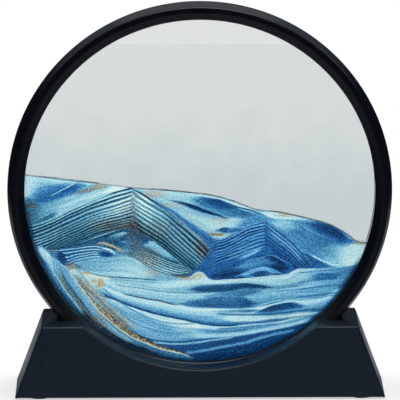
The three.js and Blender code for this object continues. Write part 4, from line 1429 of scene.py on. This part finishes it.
# %% Upper lenses in the drift
def paint_upper_lenses(sand):
    # White top of the drift.
    white_top = [
        (-11, -42.3), (-6.5, -41.1), (-3.5, -39.4), (-1.5, -38.1), (1.5, -38.8), (4, -41.2), (6, -42),
        (12, -42), (20.5, -41.2), (32.5, -40.3), (41, -39.1), (43.5, -37.5), (46.5, -36.5),
        (53.5, -36.9), (60.5, -36.8), (69, -35.9),
    ]
    sand.band(
        white_top,
        [(-11, -44.2), (-3.5, -44.7), (4, -44.4), (12, -44), (18.5, -43.4), (26, -43.9), (35, -44.9),
         (42, -44.2), (48.5, -42.8), (56, -40.4), (69, -37)],
        (0.88, 0.86, 0.8), (0.8, 0.74, 0.66), teal=0.65, soft=1.4,
    )
    # First dark lens and the blue sand under it.
    first_top = [
        (-9, -46.9), (-4.5, -45.6), (5.5, -44.4), (11.5, -44.1), (18.5, -43.7), (23.5, -43.9),
        (31.5, -45.2), (38, -46),
    ]
    first_foot = [
        (-9, -47.5), (0, -48), (11.5, -47.7), (16.5, -47.1), (20, -46.5), (25.5, -46.4), (32.5, -46.3),
        (38, -46.1),
    ]
    sand.band(first_top, first_foot, (0.4, 0.26, 0.2), (0.2, 0.12, 0.3), teal=0.4, soft=1)
    sand.stroke([(10.5, -48.7), (15, -48), (19.5, -47.2), (26, -46.9)], 0.5, 0.68, teal=0.5)
    sand.band(
        [(3, -47.8), (10.5, -47.9), (16, -47.4), (21.5, -46.7), (32.5, -46.6)],
        [(3, -49.5), (10.5, -49.7), (16, -49.5), (21.5, -49.3), (27, -49), (32.5, -48)],
        (0.5, 0.46), (0.36, 0.4), teal=0.5, soft=0.8,
    )
    # Second lens, with mixed sand above it and to its right.
    second_top = [
        (-13, -53.3), (-7, -52), (0, -51.4), (7, -50.6), (18.5, -49.9), (25.5, -51.7), (30, -53.3),
    ]
    sand.band(
        second_top,
        [(-13, -53.8), (-4.5, -54.8), (5, -55.4), (18.5, -55.6), (24.5, -54.9), (30, -53.6)],
        (0.5, 0.36, 0.24), (0.3, 0.28, 0.28), teal=0.4, soft=1.6, thread=0.14,
    )
    sand.band(
        [(-2, -48.7), (9.5, -49), (18.5, -48.7), (26, -48.5)],
        [(-2, -51.4), (9.5, -50.9), (18.5, -50.4), (26, -50.9)],
        (0.52, 0.46, 0.4), (0.42, 0.42, 0.4), teal=0.4, soft=1.5, thread=0.16,
    )
    sand.band(
        [(27, -47.1), (46.5, -45.6), (57, -45.6), (67.5, -43.7)],
        [(27, -51.8), (35, -51.2), (46.5, -50.9), (57, -50.4), (67.5, -47.1)],
        (0.68, 0.64, 0.64), (0.62, 0.5), teal=0.45, soft=1.4, thread=0.16,
    )


print("upper lenses: dark sand under the white top of the drift")


# %% Lower lens in the drift
def paint_lower_lens(sand):
    # Small dark lens on a blue shade, with a pale line above it.
    third_top = [
        (22.5, -58.1), (26.5, -56.9), (31.5, -55), (36.5, -53.8), (41, -53), (45.5, -53), (52, -54.5),
    ]
    sand.band(
        [(21.5, -57.9), (29, -56.1), (39, -55.7), (50.5, -55)],
        [(21.5, -58.5), (29, -59), (39, -58.3), (50.5, -56.1)],
        (0.5, 0.46), (0.5, 0.5), teal=0.2, soft=1,
    )
    sand.band(
        third_top,
        [(22.5, -58.3), (26.5, -57.9), (32.5, -57.4), (39.5, -56.5), (46.5, -55.9), (52, -54.9)],
        (0.26, 0.18, 0.28), (0.16, 0.28), teal=0.3, soft=0.8,
    )
    sand.stroke(
        [(23.5, -56.3), (28, -54.2), (37.5, -52), (44.5, -51.8), (52, -51.4), (60.5, -49.9)],
        0.7, 0.68, teal=0.5,
    )
    # Pale runs and thin dark lines around it.
    sand.band(
        [(0, -56.3), (9.5, -56.6), (17, -56.3), (25, -55.9), (31, -55.2)],
        [(0, -57.6), (9.5, -58.1), (17, -57.9), (25, -57.6), (31, -56.6)],
        (0.8, 0.72), (0.34, 0.34), teal=0.6, soft=0.8,
    )
    sand.stroke(
        [(6.5, -58.2), (17, -58.8), (37.5, -58.1), (46.5, -57), (57, -55.7)],
        0.7, 0.26, teal=0.7, strength=0.85,
    )
    sand.band(
        [(23.5, -59.5), (37.5, -59), (46.5, -58), (58, -56.3)],
        [(23.5, -60.9), (37.5, -60.7), (46.5, -60.2), (58, -58.6)],
        (0.78, 0.76), (0.88, 0.85), teal=0.75, soft=0.9,
    )
    sand.stroke(
        [(26, -61.7), (37.5, -60.7), (46.5, -59.9), (56, -58.3)],
        0.45, 0.36, teal=0.6, strength=0.8,
    )


print("lower lens: a small dark lens between pale runs")

# %% Low runs of the drift
RIB = [
    (-54, -46.1), (-48, -52.3), (-42, -57.8), (-35, -62.6), (-28, -66.2), (-21, -68.6), (-13, -69.7),
    (-3.5, -69.5),
]


def paint_low_runs(sand):
    # Blue and pale runs, one below the other.
    sand.stroke([(6.5, -65.7), (29, -64), (37.5, -62.8)], 0.9, 0.42, teal=0.4, strength=0.8)
    sand.band(
        [(6.5, -58.8), (17, -59.4), (27, -59.3), (37.5, -58.8)],
        [(6.5, -61.2), (17, -62.1), (27, -61.8), (37.5, -60.4)],
        (0.9, 0.86), (0.86, 0.84), teal=0.6, soft=1,
    )
    sand.band(
        [(2.5, -66.2), (14, -65.9), (29, -64.5)],
        [(2.5, -66.8), (14, -66.9), (29, -65.3)],
        (0.44, 0.4), teal=0.5,
    )
    sand.stroke([(-4.5, -69), (5, -69), (23.5, -67.3), (42, -63.6), (54, -60.7)], 1.7, 0.8, teal=0.25)
    sand.stroke([(-25, -71.7), (-10, -72.6), (-2, -72.1), (5.5, -71), (17, -69.3)], 0.9, 0.7)
    sand.stroke(
        [(-9, -77.2), (1, -76), (20.5, -72.1), (29, -69.7), (39, -67.3), (46.5, -66)],
        1.3, 0.56, teal=0.25,
    )
    # Four ribs down the left side of the drift.
    for rib, bright in enumerate((0.66, 0.46, 0.66, 0.44)):
        sand.stroke(moved(RIB, 1.1 * rib, 2.2 * rib), 0.7, bright, teal=0.35, strength=0.7)
    # Short strokes, and gold grains near the ridges.
    sand.stroke([(39, -39.2), (42, -38), (43.5, -36.9)], 1.6, 0.2, strength=0.9)
    sand.stroke([(43, -54.7), (46.5, -55.2), (50.5, -54.7)], 1.6, 0.34, strength=0.8)
    sand.stroke([(-10, -58.1), (-2, -59.3), (7, -60)], 1, 0.6, teal=0.6, strength=0.7)
    sand.dust((-4.5, -40.7), 5, 1.6, 0.7, tone=0.5)
    sand.dust((0, -39.9), 3, 1.8, 0.5, tone=0.6)
    sand.dust((-22, -38.3), 6, 1.6, 0.4, tone=0.6)


print("low runs: pale streaks that lie close together towards the bottom")


# %% Right end of the drift
def paint_drift_end(sand):
    # Pale sand that darkens towards the wall, with a dark lens in it.
    sand.band(
        [(45, -36.6), (51, -36.8), (57.5, -37), (65, -36.3), (81.5, -33.7)],
        [(45, -43.3), (51, -42.3), (57.5, -41.8), (81.5, -36.6)],
        (0.78, 0.7, 0.6), (0.36, 0.3, 0.34), teal=0.4, soft=1.2, thread=0.14,
    )
    sand.band(
        [(49.5, -39.4), (55, -38.8), (61.5, -39), (68, -38.5)],
        [(49.5, -42.3), (55, -43.1), (61.5, -42.3), (68, -40.4)],
        (0.4, 0.3), (0.3, 0.32), teal=0.25, soft=1.2, thread=0.14,
    )
    sand.band(
        [(42, -43.1), (53.5, -42.6), (63, -41.5), (81.5, -36.6)],
        [(42, -47.4), (53.5, -46.4), (63, -44.2), (81.5, -39)],
        (0.82, 0.76, 0.64), (0.45, 0.36), teal=0.5, soft=1, thread=0.14,
    )
    # Lines that rise towards the wall: height at the left, height at the right and tone.
    runs = ((-37.1, -35, 0.7), (-38.8, -36.2, 0.42), (-43.2, -40.8, 0.36), (-44.2, -41.9, 0.56))
    runs += ((-46.4, -43.9, 0.34), (-47.4, -45, 0.54), (-50.2, -47.4, 0.3), (-51.2, -48.6, 0.52))
    for start, end, bright in runs:
        rise = end - start
        line = [
            (43.5, start - 0.5), (55.5, start + rise / 3), (69.5, end - rise / 3 + 0.7), (81, end + 1.9),
        ]
        sand.stroke(line, 0.6, bright, strength=0.8)


print("right end of the drift: runs that rise towards the wall")


# %% Bed
def paint_bed(sand):
    sand.lay(1, 0.46, 0.5)
    # White sand at the top of the bed.
    sand.band(
        [(-78, -24.2), (-76, -25.1), (-73, -26.3), (-70.5, -28), (-66.5, -31.3)],
        [(-78, -26.1), (-76, -28.9), (-73, -31.8), (-70.5, -33.7), (-66.5, -35.1)],
        (0.82, 0.9, 0.82), teal=0.65, soft=0.8,
    )
    sand.stroke([(-75, -26.1), (-71.5, -31.1), (-69, -35.1), (-66, -40.4)], 1.7, 0.8, teal=0.7)
    # Bands that run down along the wall: pale blue, dark teal, olive and a thin pale line.
    olive = [
        (-68, -34.2), (-66.5, -37.5), (-64, -42.3), (-61, -47.1), (-57.5, -51.8), (-54, -56.6),
        (-51, -60.2), (-47.5, -64),
    ]
    pale = [
        (-69.5, -28.9), (-66, -33.2), (-62, -37.8), (-56, -47.1), (-53, -51.8), (-49, -56.6),
        (-45, -61.4), (-40.5, -65.9), (-36, -69.3), (-30.5, -72.6),
    ]
    sand.band(
        [(-71.5, -28), (-67.5, -30.8), (-64, -34.7), (-60, -39)],
        [(-71.5, -31.3), (-67.5, -37.5), (-64, -43.7), (-60.5, -48)],
        (0.72, 0.7), (0.6, 0.55), teal=0.55, soft=1.2,
    )
    sand.stroke(pale, 3.5, 0.6, teal=0.4)
    sand.stroke(moved(pale, 0.5, 0.4), 0.6, 0.74, teal=0.5, strength=0.7)
    sand.stroke(moved(olive, 1.7, 0), 1.2, 0.32, teal=0.9, gold=0.1)
    sand.stroke(olive, 1.3, 0.4, teal=1, gold=0.35)
    sand.stroke(
        [(-74, -27), (-71, -32.7), (-68.5, -37.5), (-65, -42.3), (-62.5, -47.1), (-59, -51.8),
         (-55.5, -56.6), (-52, -60.9)],
        0.6, 0.72, teal=0.7,
    )
    # Dark olive sand at the bottom, with a darker, a golden and a paler stroke over it.
    sand.band(
        [(-62, -51.8), (-56.5, -56.1), (-50, -59.7), (-42.5, -65.5), (-38, -69), (-32.5, -72.2),
         (-23, -76), (-11, -79.8)],
        [(-62.5, -61.4), (-55, -68.6), (-46.5, -75.3), (-37, -81.5), (-23, -87.2), (-11, -89.1)],
        (0.26, 0.14, 0.08, 0.05), (0.14, 0.06), teal=0.9, gold=0.4, soft=1.6, thread=0.14,
    )
    sand.stroke(
        [(-55.5, -56.6), (-51, -61.6), (-47, -65.5), (-42.5, -68.8), (-30.5, -74.5), (-22.5, -77.2)],
        2.8, 0.05, teal=0.6, gold=0.4,
    )
    sand.stroke(
        [(-55, -57.1), (-51, -61.2), (-48.5, -64), (-45.5, -66.4), (-42, -69)],
        1.4, 0.2, teal=0.8, gold=0.7, strength=0.6,
    )
    sand.stroke([(-32.5, -71.7), (-24, -74.7), (-17.5, -76.7), (-10, -78.6)], 0.9, 0.4, teal=0.6)


print("bed: bands of white, olive and pale blue along the wall")


# %% Gold vein
def paint_vein(sand):
    sand.band(
        moved(VEIN, 0, 0.3), VEIN_FOOT, (0.36, 0.46, 0.5), (0.3, 0.44, 0.55), teal=0.95, gold=0.68,
        soft=0.4, thread=0.16,
    )
    sand.stroke(moved(VEIN_FOOT, 0, -0.1), 0.55, 0.85, teal=0.7, gold=0.35)
    sand.stroke(moved(VEIN[5:], 0, -0.2), 0.7, 0.1, teal=0.8, gold=0.6, strength=0.8)
    sand.dust((-43.5, -58.5), 6, 6, 0.25, gold=0.8, tone=0.16)
    sand.dust((-44.5, -57.6), 6, 6, 0.2, gold=0.9, tone=0.66)
    sand.dust((-48, -62.8), 5, 4, 0.4, gold=0.8, tone=0.3)
    sand.dust((-42, -68.1), 5, 2.5, 0.3, gold=0.8, tone=0.36)


print("vein: gold over a pale line, with grains spilt around it")


# %% Gold at the head of the drift
def paint_drift_head(sand):
    # Pale head of the drift, with dark and white runs along its edges.
    sand.band(
        [(-62, -36.6), (-55.5, -40.9), (-50, -41.3), (-41, -42.8)],
        [(-62, -38.5), (-55.5, -45.2), (-50, -47.6), (-46.5, -48), (-41, -47.1)],
        (0.66, 0.72, 0.7), (0.84, 0.82, 0.7), teal=0.7, gold=0.2, soft=1.2, thread=0.18,
    )
    sand.stroke(
        [(-65, -31.3), (-61, -33.5), (-57.5, -35), (-53.5, -36.1)],
        1.6, 0.32, teal=0.7, gold=0.2, strength=0.8,
    )
    sand.stroke(
        [(-66, -33.2), (-60, -36.3), (-55.5, -38.2), (-46.5, -40.8), (-40, -41.6)],
        1.5, 0.9, teal=0.75, gold=0.3,
    )
    sand.stroke(
        [(-58.5, -41.3), (-54, -45.4), (-49, -48), (-44.5, -49.7), (-40, -51.4)],
        0.5, 0.32, teal=0.9, gold=0.4,
    )
    # Gold grains in a few spots.
    sand.dust((-60, -35.6), 2.4, 1.5, 0.85, tone=0.3)
    sand.dust((-53.5, -38.5), 3.4, 0.9, 0.55, tone=0.5)
    for dx, dz in ((0, 1.5), (-2.6, 1.2), (1.5, -0.4), (-0.6, -1), (0.9, 0.8), (0, 0)):
        sand.dust((dx - 46.6, dz - 43.6), 1.2, 1.1, 0.9, gold=1, tone=0.56)
    # Pale lines above the vein, and gold that has spilt down beside it.
    for shift in (3.2, 4.2, 5.2):
        sand.stroke(moved(VEIN[:7], 0, shift), 0.5, 0.9 - 0.07 * shift, teal=0.8, gold=0.15, strength=0.8)
    spill = [
        (-60, -38), (-56.5, -41.3), (-53, -45.2), (-49, -49.2), (-45.5, -52.8), (-41, -57.3),
        (-36, -61.7), (-30.5, -66.7),
    ]
    sand.stroke(spill, 1.5, 0.4, teal=1, gold=0.5, strength=0.75)
    sand.stroke(moved(spill, 0.8, 0.6), 0.5, 0.7, teal=0.9, gold=0.3, strength=0.8)
    for place_mm in spill[2:7]:
        sand.dust(place_mm, 2.2, 2.6, 0.3, gold=0.9, tone=0.26)
        sand.dust(moved([place_mm], 0.8, 0.4)[0], 2, 2.4, 0.2, gold=0.9, tone=0.62)


print("head of the drift: gold caught at the top of the runs")

# %% [markdown]
# ## Sand grains
# The three painted numbers become a colour. Each grain has its own shade, so a fine noise shifts the tone
# before it is turned into blue, teal or gold. Sand is rough all over, and a fine bump gives the grains
# their small shadows.

# %% Sand finishes
PAINTED = ("tone", "teal", "gold")
BLUES = ((2, 22, 50), (8, 49, 102), (32, 91, 148), (74, 140, 185), (137, 184, 203), (190, 207, 209))
TEALS = ((1, 23, 34), (12, 52, 70), (42, 93, 113), (88, 141, 158), (145, 183, 188), (192, 205, 200))
GOLDS = ((20, 18, 6), (60, 51, 18), (118, 98, 38), (165, 137, 66), (189, 174, 128), (198, 193, 170))


def sand_finish(name, grain_mm, scatter):
    material, tree, shader = new_material(name)
    parts = {}
    for part in PAINTED:
        parts[part] = add(tree, "Attribute", attribute_name=part).outputs["Fac"]
    shift = spread(tree, grain(tree, grain_mm, detail=3), -scatter, scatter)
    tone = add(tree, "Math", {0: parts["tone"], 1: shift}, operation="ADD").outputs[0]
    hues = []
    for tints in (BLUES, TEALS, GOLDS):
        stops = [(index / (len(tints) - 1), colour(*tint)) for index, tint in enumerate(tints)]
        hues.append(ramp(tree, tone, stops))
    blue, teal, gold = hues
    cold = add(tree, "Mix", {0: parts["teal"], 6: blue, 7: teal}, data_type="RGBA").outputs[2]
    final = add(tree, "Mix", {0: parts["gold"], 6: cold, 7: gold}, data_type="RGBA").outputs[2]
    tree.links.new(final, shader.inputs["Base Color"])
    tree.links.new(spread(tree, grain(tree, size_mm=0.3), 0.75, 0.95), shader.inputs["Roughness"])
    shader.inputs["Specular IOR Level"].default_value = 0.03
    bump(tree, shader, grain(tree, size_mm=0.4), distance_mm=0.04, strength=0.5)
    return material


pale_sand = sand_finish("pale sand", grain_mm=0.6, scatter=0.18)
dark_sand = sand_finish("dark sand", grain_mm=0.6, scatter=0.18)
blue_sand = sand_finish("blue sand", grain_mm=0.6, scatter=0.18)
white_sand = sand_finish("white sand", grain_mm=0.6, scatter=0.16)
gold_sand = sand_finish("gold sand", grain_mm=0.7, scatter=0.3)
print("sand finishes: pale, dark, blue, white, gold")

# %% [markdown]
# ## Heaps of sand
# Each heap is a thin slab between the two discs of glass. Its outline lies between two of the drawn lines and
# the round wall of the chamber. Columns of points fill it, close enough to hold the finest line, and the
# surface rises a little where the sand is pale and sinks along the dark lines.

# %% Sand slabs
THINNEST_MM = 0.04


def slab(name, x, upper, lower, rows, half_depth):
    """A closed slab between two lines; half_depth gives its half thickness at each point."""
    columns = len(x)
    z = lower[:, None] + (upper - lower)[:, None] * np.linspace(0, 1, rows)[None, :]
    x = np.repeat(x[:, None], rows, 1)
    front = np.stack([x, -half_depth(x, z), z + RING_HEIGHT], -1).reshape(-1, 3)
    back = front * (1, -1, 1)
    index = np.arange(columns * rows).reshape(columns, rows)
    corners = [index[:-1, :-1], index[1:, :-1], index[1:, 1:], index[:-1, 1:]]
    face = np.stack(corners, -1).reshape(-1, 4)
    loop = np.concatenate([index[:-1, 0], index[-1, :-1], index[:0:-1, -1], index[0, :0:-1]])
    after = np.roll(loop, -1)
    count = columns * rows
    edge = np.stack([after, loop, loop + count, after + count], -1)
    faces = np.concatenate([face, face[:, ::-1] + count, edge])
    return piece_from(name, np.concatenate([front, back]).tolist(), faces.tolist())


def columns_between(start, end, step):
    first, last = (math.asin(max(min(place_x / CHAMBER_RADIUS, 1), -1)) for place_x in (start, end))
    return CHAMBER_RADIUS * np.sin(np.linspace(first, last, int((end - start) / step)))


def inside_chamber(x, upper, lower):
    rim = np.sqrt(np.maximum(CHAMBER_RADIUS**2 - x**2, 0))
    upper, lower = np.clip(upper, -rim, rim), np.clip(lower, -rim, rim)
    keep = upper - lower > THINNEST_MM
    return x[keep], upper[keep], lower[keep]


print("slabs end where they are thinner than", THINNEST_MM, "mm")

# %% Painted heaps
SAND_STEP = 0.22
HEAP_POINTS = 47000
SAND_RELIEF = 0.2
EXTRA_ROWS = 4
HEAP_SHARP_ANGLE = 50


def sand_heap(name, node, slot, finish, start, end, top, foot, *painters):
    x = columns_between(start, end, SAND_STEP)
    step = max(SAND_STEP, math.sqrt((end - start) * np.max(top(x) - foot(x)) / HEAP_POINTS))
    x = columns_between(start, end, step)
    x, upper, lower = inside_chamber(x, top(x), foot(x))
    painted = []

    def half_depth(grid_x, grid_z):
        sand = Sand(grid_x, grid_z)
        for painter in (*painters, paint_wall_shade):
            painter(sand)
        painted.append(sand)
        return SAND_HALF_DEPTH + SAND_RELIEF * np.clip(sand.tone, 0, 1)

    rows = int(np.max(upper - lower) / step) + EXTRA_ROWS
    heap = slab(name, x, upper, lower, rows, half_depth)
    for part in PAINTED:
        values = np.clip(getattr(painted[0], part), 0, 1).reshape(-1)
        layer = heap.data.attributes.new(part, "FLOAT", "POINT")
        layer.data.foreach_set("value", np.concatenate([values, values]).astype(np.float32))
    heap.data.shade_smooth()
    heap.data.set_sharp_from_angle(angle=math.radians(HEAP_SHARP_ANGLE))
    settle(heap, "contents", slot, finish, node)


print("sand step", SAND_STEP, "mm, relief", SAND_RELIEF, "mm")


# %% Tops and feet of the heaps
def along(points):
    return lambda x: line_height(points, x)


def round_wall(x):
    return np.full_like(x, -CHAMBER_RADIUS)


def left_ridge_foot(x):
    return np.where(x < RIDGE_GAP[0][0], line_height(RIDGE_FEET, x), line_height(RIDGE_GAP, x))


def right_ridge_top(x):
    return np.where(x < RIDGE_GAP[-1][0], line_height(RIDGE_GAP, x), line_height(CRESTS, x))


def drift_foot(x):
    return np.where(x < VEIN[-1][0], line_height(VEIN, x), -CHAMBER_RADIUS)


def bed_top(x):
    return np.where(x < VEIN[0][0], line_height(RIDGE_FEET, x), line_height(VEIN_FOOT, x))


print("the gap between the ridges is", RIDGE_GAP[-1][0] - RIDGE_GAP[0][0], "mm wide")

# %% Seven heaps
PEAK_X = -32
RIDGE_END_X = 53

sand_heap(
    "sand_dune_left", "sand_left_dune", "pale_sand", pale_sand, -CHAMBER_RADIUS, PEAK_X,
    along(SURFACE), along(CRESTS), paint_left_dune, paint_surface,
)
sand_heap(
    "sand_dune_right", "sand_right_dune", "pale_sand", pale_sand, PEAK_X, CHAMBER_RADIUS,
    along(SURFACE), along(CRESTS), paint_right_dune, paint_hollow, paint_dune_end, paint_surface,
)
sand_heap(
    "sand_ridge_left", "sand_left_ridge", "dark_sand", dark_sand, -CHAMBER_RADIUS, RIDGE_GAP[-1][0],
    along(CRESTS), left_ridge_foot,
    paint_left_flank, paint_right_flank, paint_ridge_grains, paint_lower_slope, paint_small_dune,
)
sand_heap(
    "sand_ridge_right", "sand_right_ridge", "blue_sand", blue_sand, RIDGE_GAP[0][0], RIDGE_END_X,
    right_ridge_top, along(RIDGE_FEET), paint_right_ridge, paint_dark_hill,
)
sand_heap(
    "sand_drift_front", "sand_drift", "white_sand", white_sand, VEIN[0][0], CHAMBER_RADIUS,
    along(RIDGE_FEET), drift_foot,
    paint_drift, paint_upper_lenses, paint_lower_lens, paint_low_runs, paint_drift_end, paint_drift_head,
)
sand_heap(
    "sand_vein", "sand_gold_vein", "gold_sand", gold_sand, VEIN[0][0], VEIN[-1][0],
    along(VEIN), along(VEIN_FOOT), paint_bed, paint_vein,
)
sand_heap(
    "sand_bed_left", "sand_bed", "blue_sand", blue_sand, -CHAMBER_RADIUS, VEIN[-1][0],
    bed_top, round_wall, paint_bed, paint_vein,
)

# %% [markdown]
# ## Liquid
# The liquid fills the chamber from the sand up to a level near the top, where a little air is left. It creeps
# up the wall by a fraction of a millimetre, as water does in a glass. The level shows as one faint line.

# %% Liquid
CREEP_HEIGHT = 0.6
CREEP_REACH = 1.2
LIQUID_STEP = 0.8
LIQUID_ROWS = 12


def liquid_top(x):
    half_width = math.sqrt(CHAMBER_RADIUS**2 - LIQUID_LEVEL**2)
    return LIQUID_LEVEL - CREEP_HEIGHT + CREEP_HEIGHT * np.exp((np.abs(x) - half_width) / CREEP_REACH)


def liquid_depth(x, z):
    return np.full_like(x, SAND_HALF_DEPTH)


liquid_x = columns_between(-CHAMBER_RADIUS, CHAMBER_RADIUS, LIQUID_STEP)
sand_surface = line_height(SURFACE, liquid_x)
liquid_x, liquid_upper, liquid_lower = inside_chamber(liquid_x, liquid_top(liquid_x), sand_surface)
liquid = slab("clear_filling", liquid_x, liquid_upper, liquid_lower, LIQUID_ROWS, liquid_depth)
tidy_normals(liquid, sharp_angle=30)
settle(liquid, "contents", "clear_liquid", clear_liquid, "liquid")

# %% [markdown]
# ## Finishes for the pieces that stay as they are
# The pieces inside the ring and under the base are right as they come from the model: flat rings, discs and
# plates. They only need their finish.

# %% Carried-over pieces
PLAIN_FINISHES = {
    "base_cover": cover_plastic,
    "cover_screw": screw_steel,
    "foot_pad": pad_rubber,
    "gasket": seal_rubber,
    "seal": seal_rubber,
    "spacer_ring": seal_rubber,
    "fill_plug": pad_rubber,
    "port_cap": ring_plastic,
    "glass": clear_glass,
}
dressed_count = 0
for name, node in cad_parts.items():
    for word, finish in PLAIN_FINISHES.items():
        if word in name:
            node.data.materials.clear()
            node.data.materials.append(finish)
            dressed_count += 1
            break
print("finishes given to", dressed_count, "carried-over pieces")

# %% [markdown]
# ## Last update
# The scene is brought up to date once more.

# %% Bring the scene up to date
bpy.context.view_layer.update()
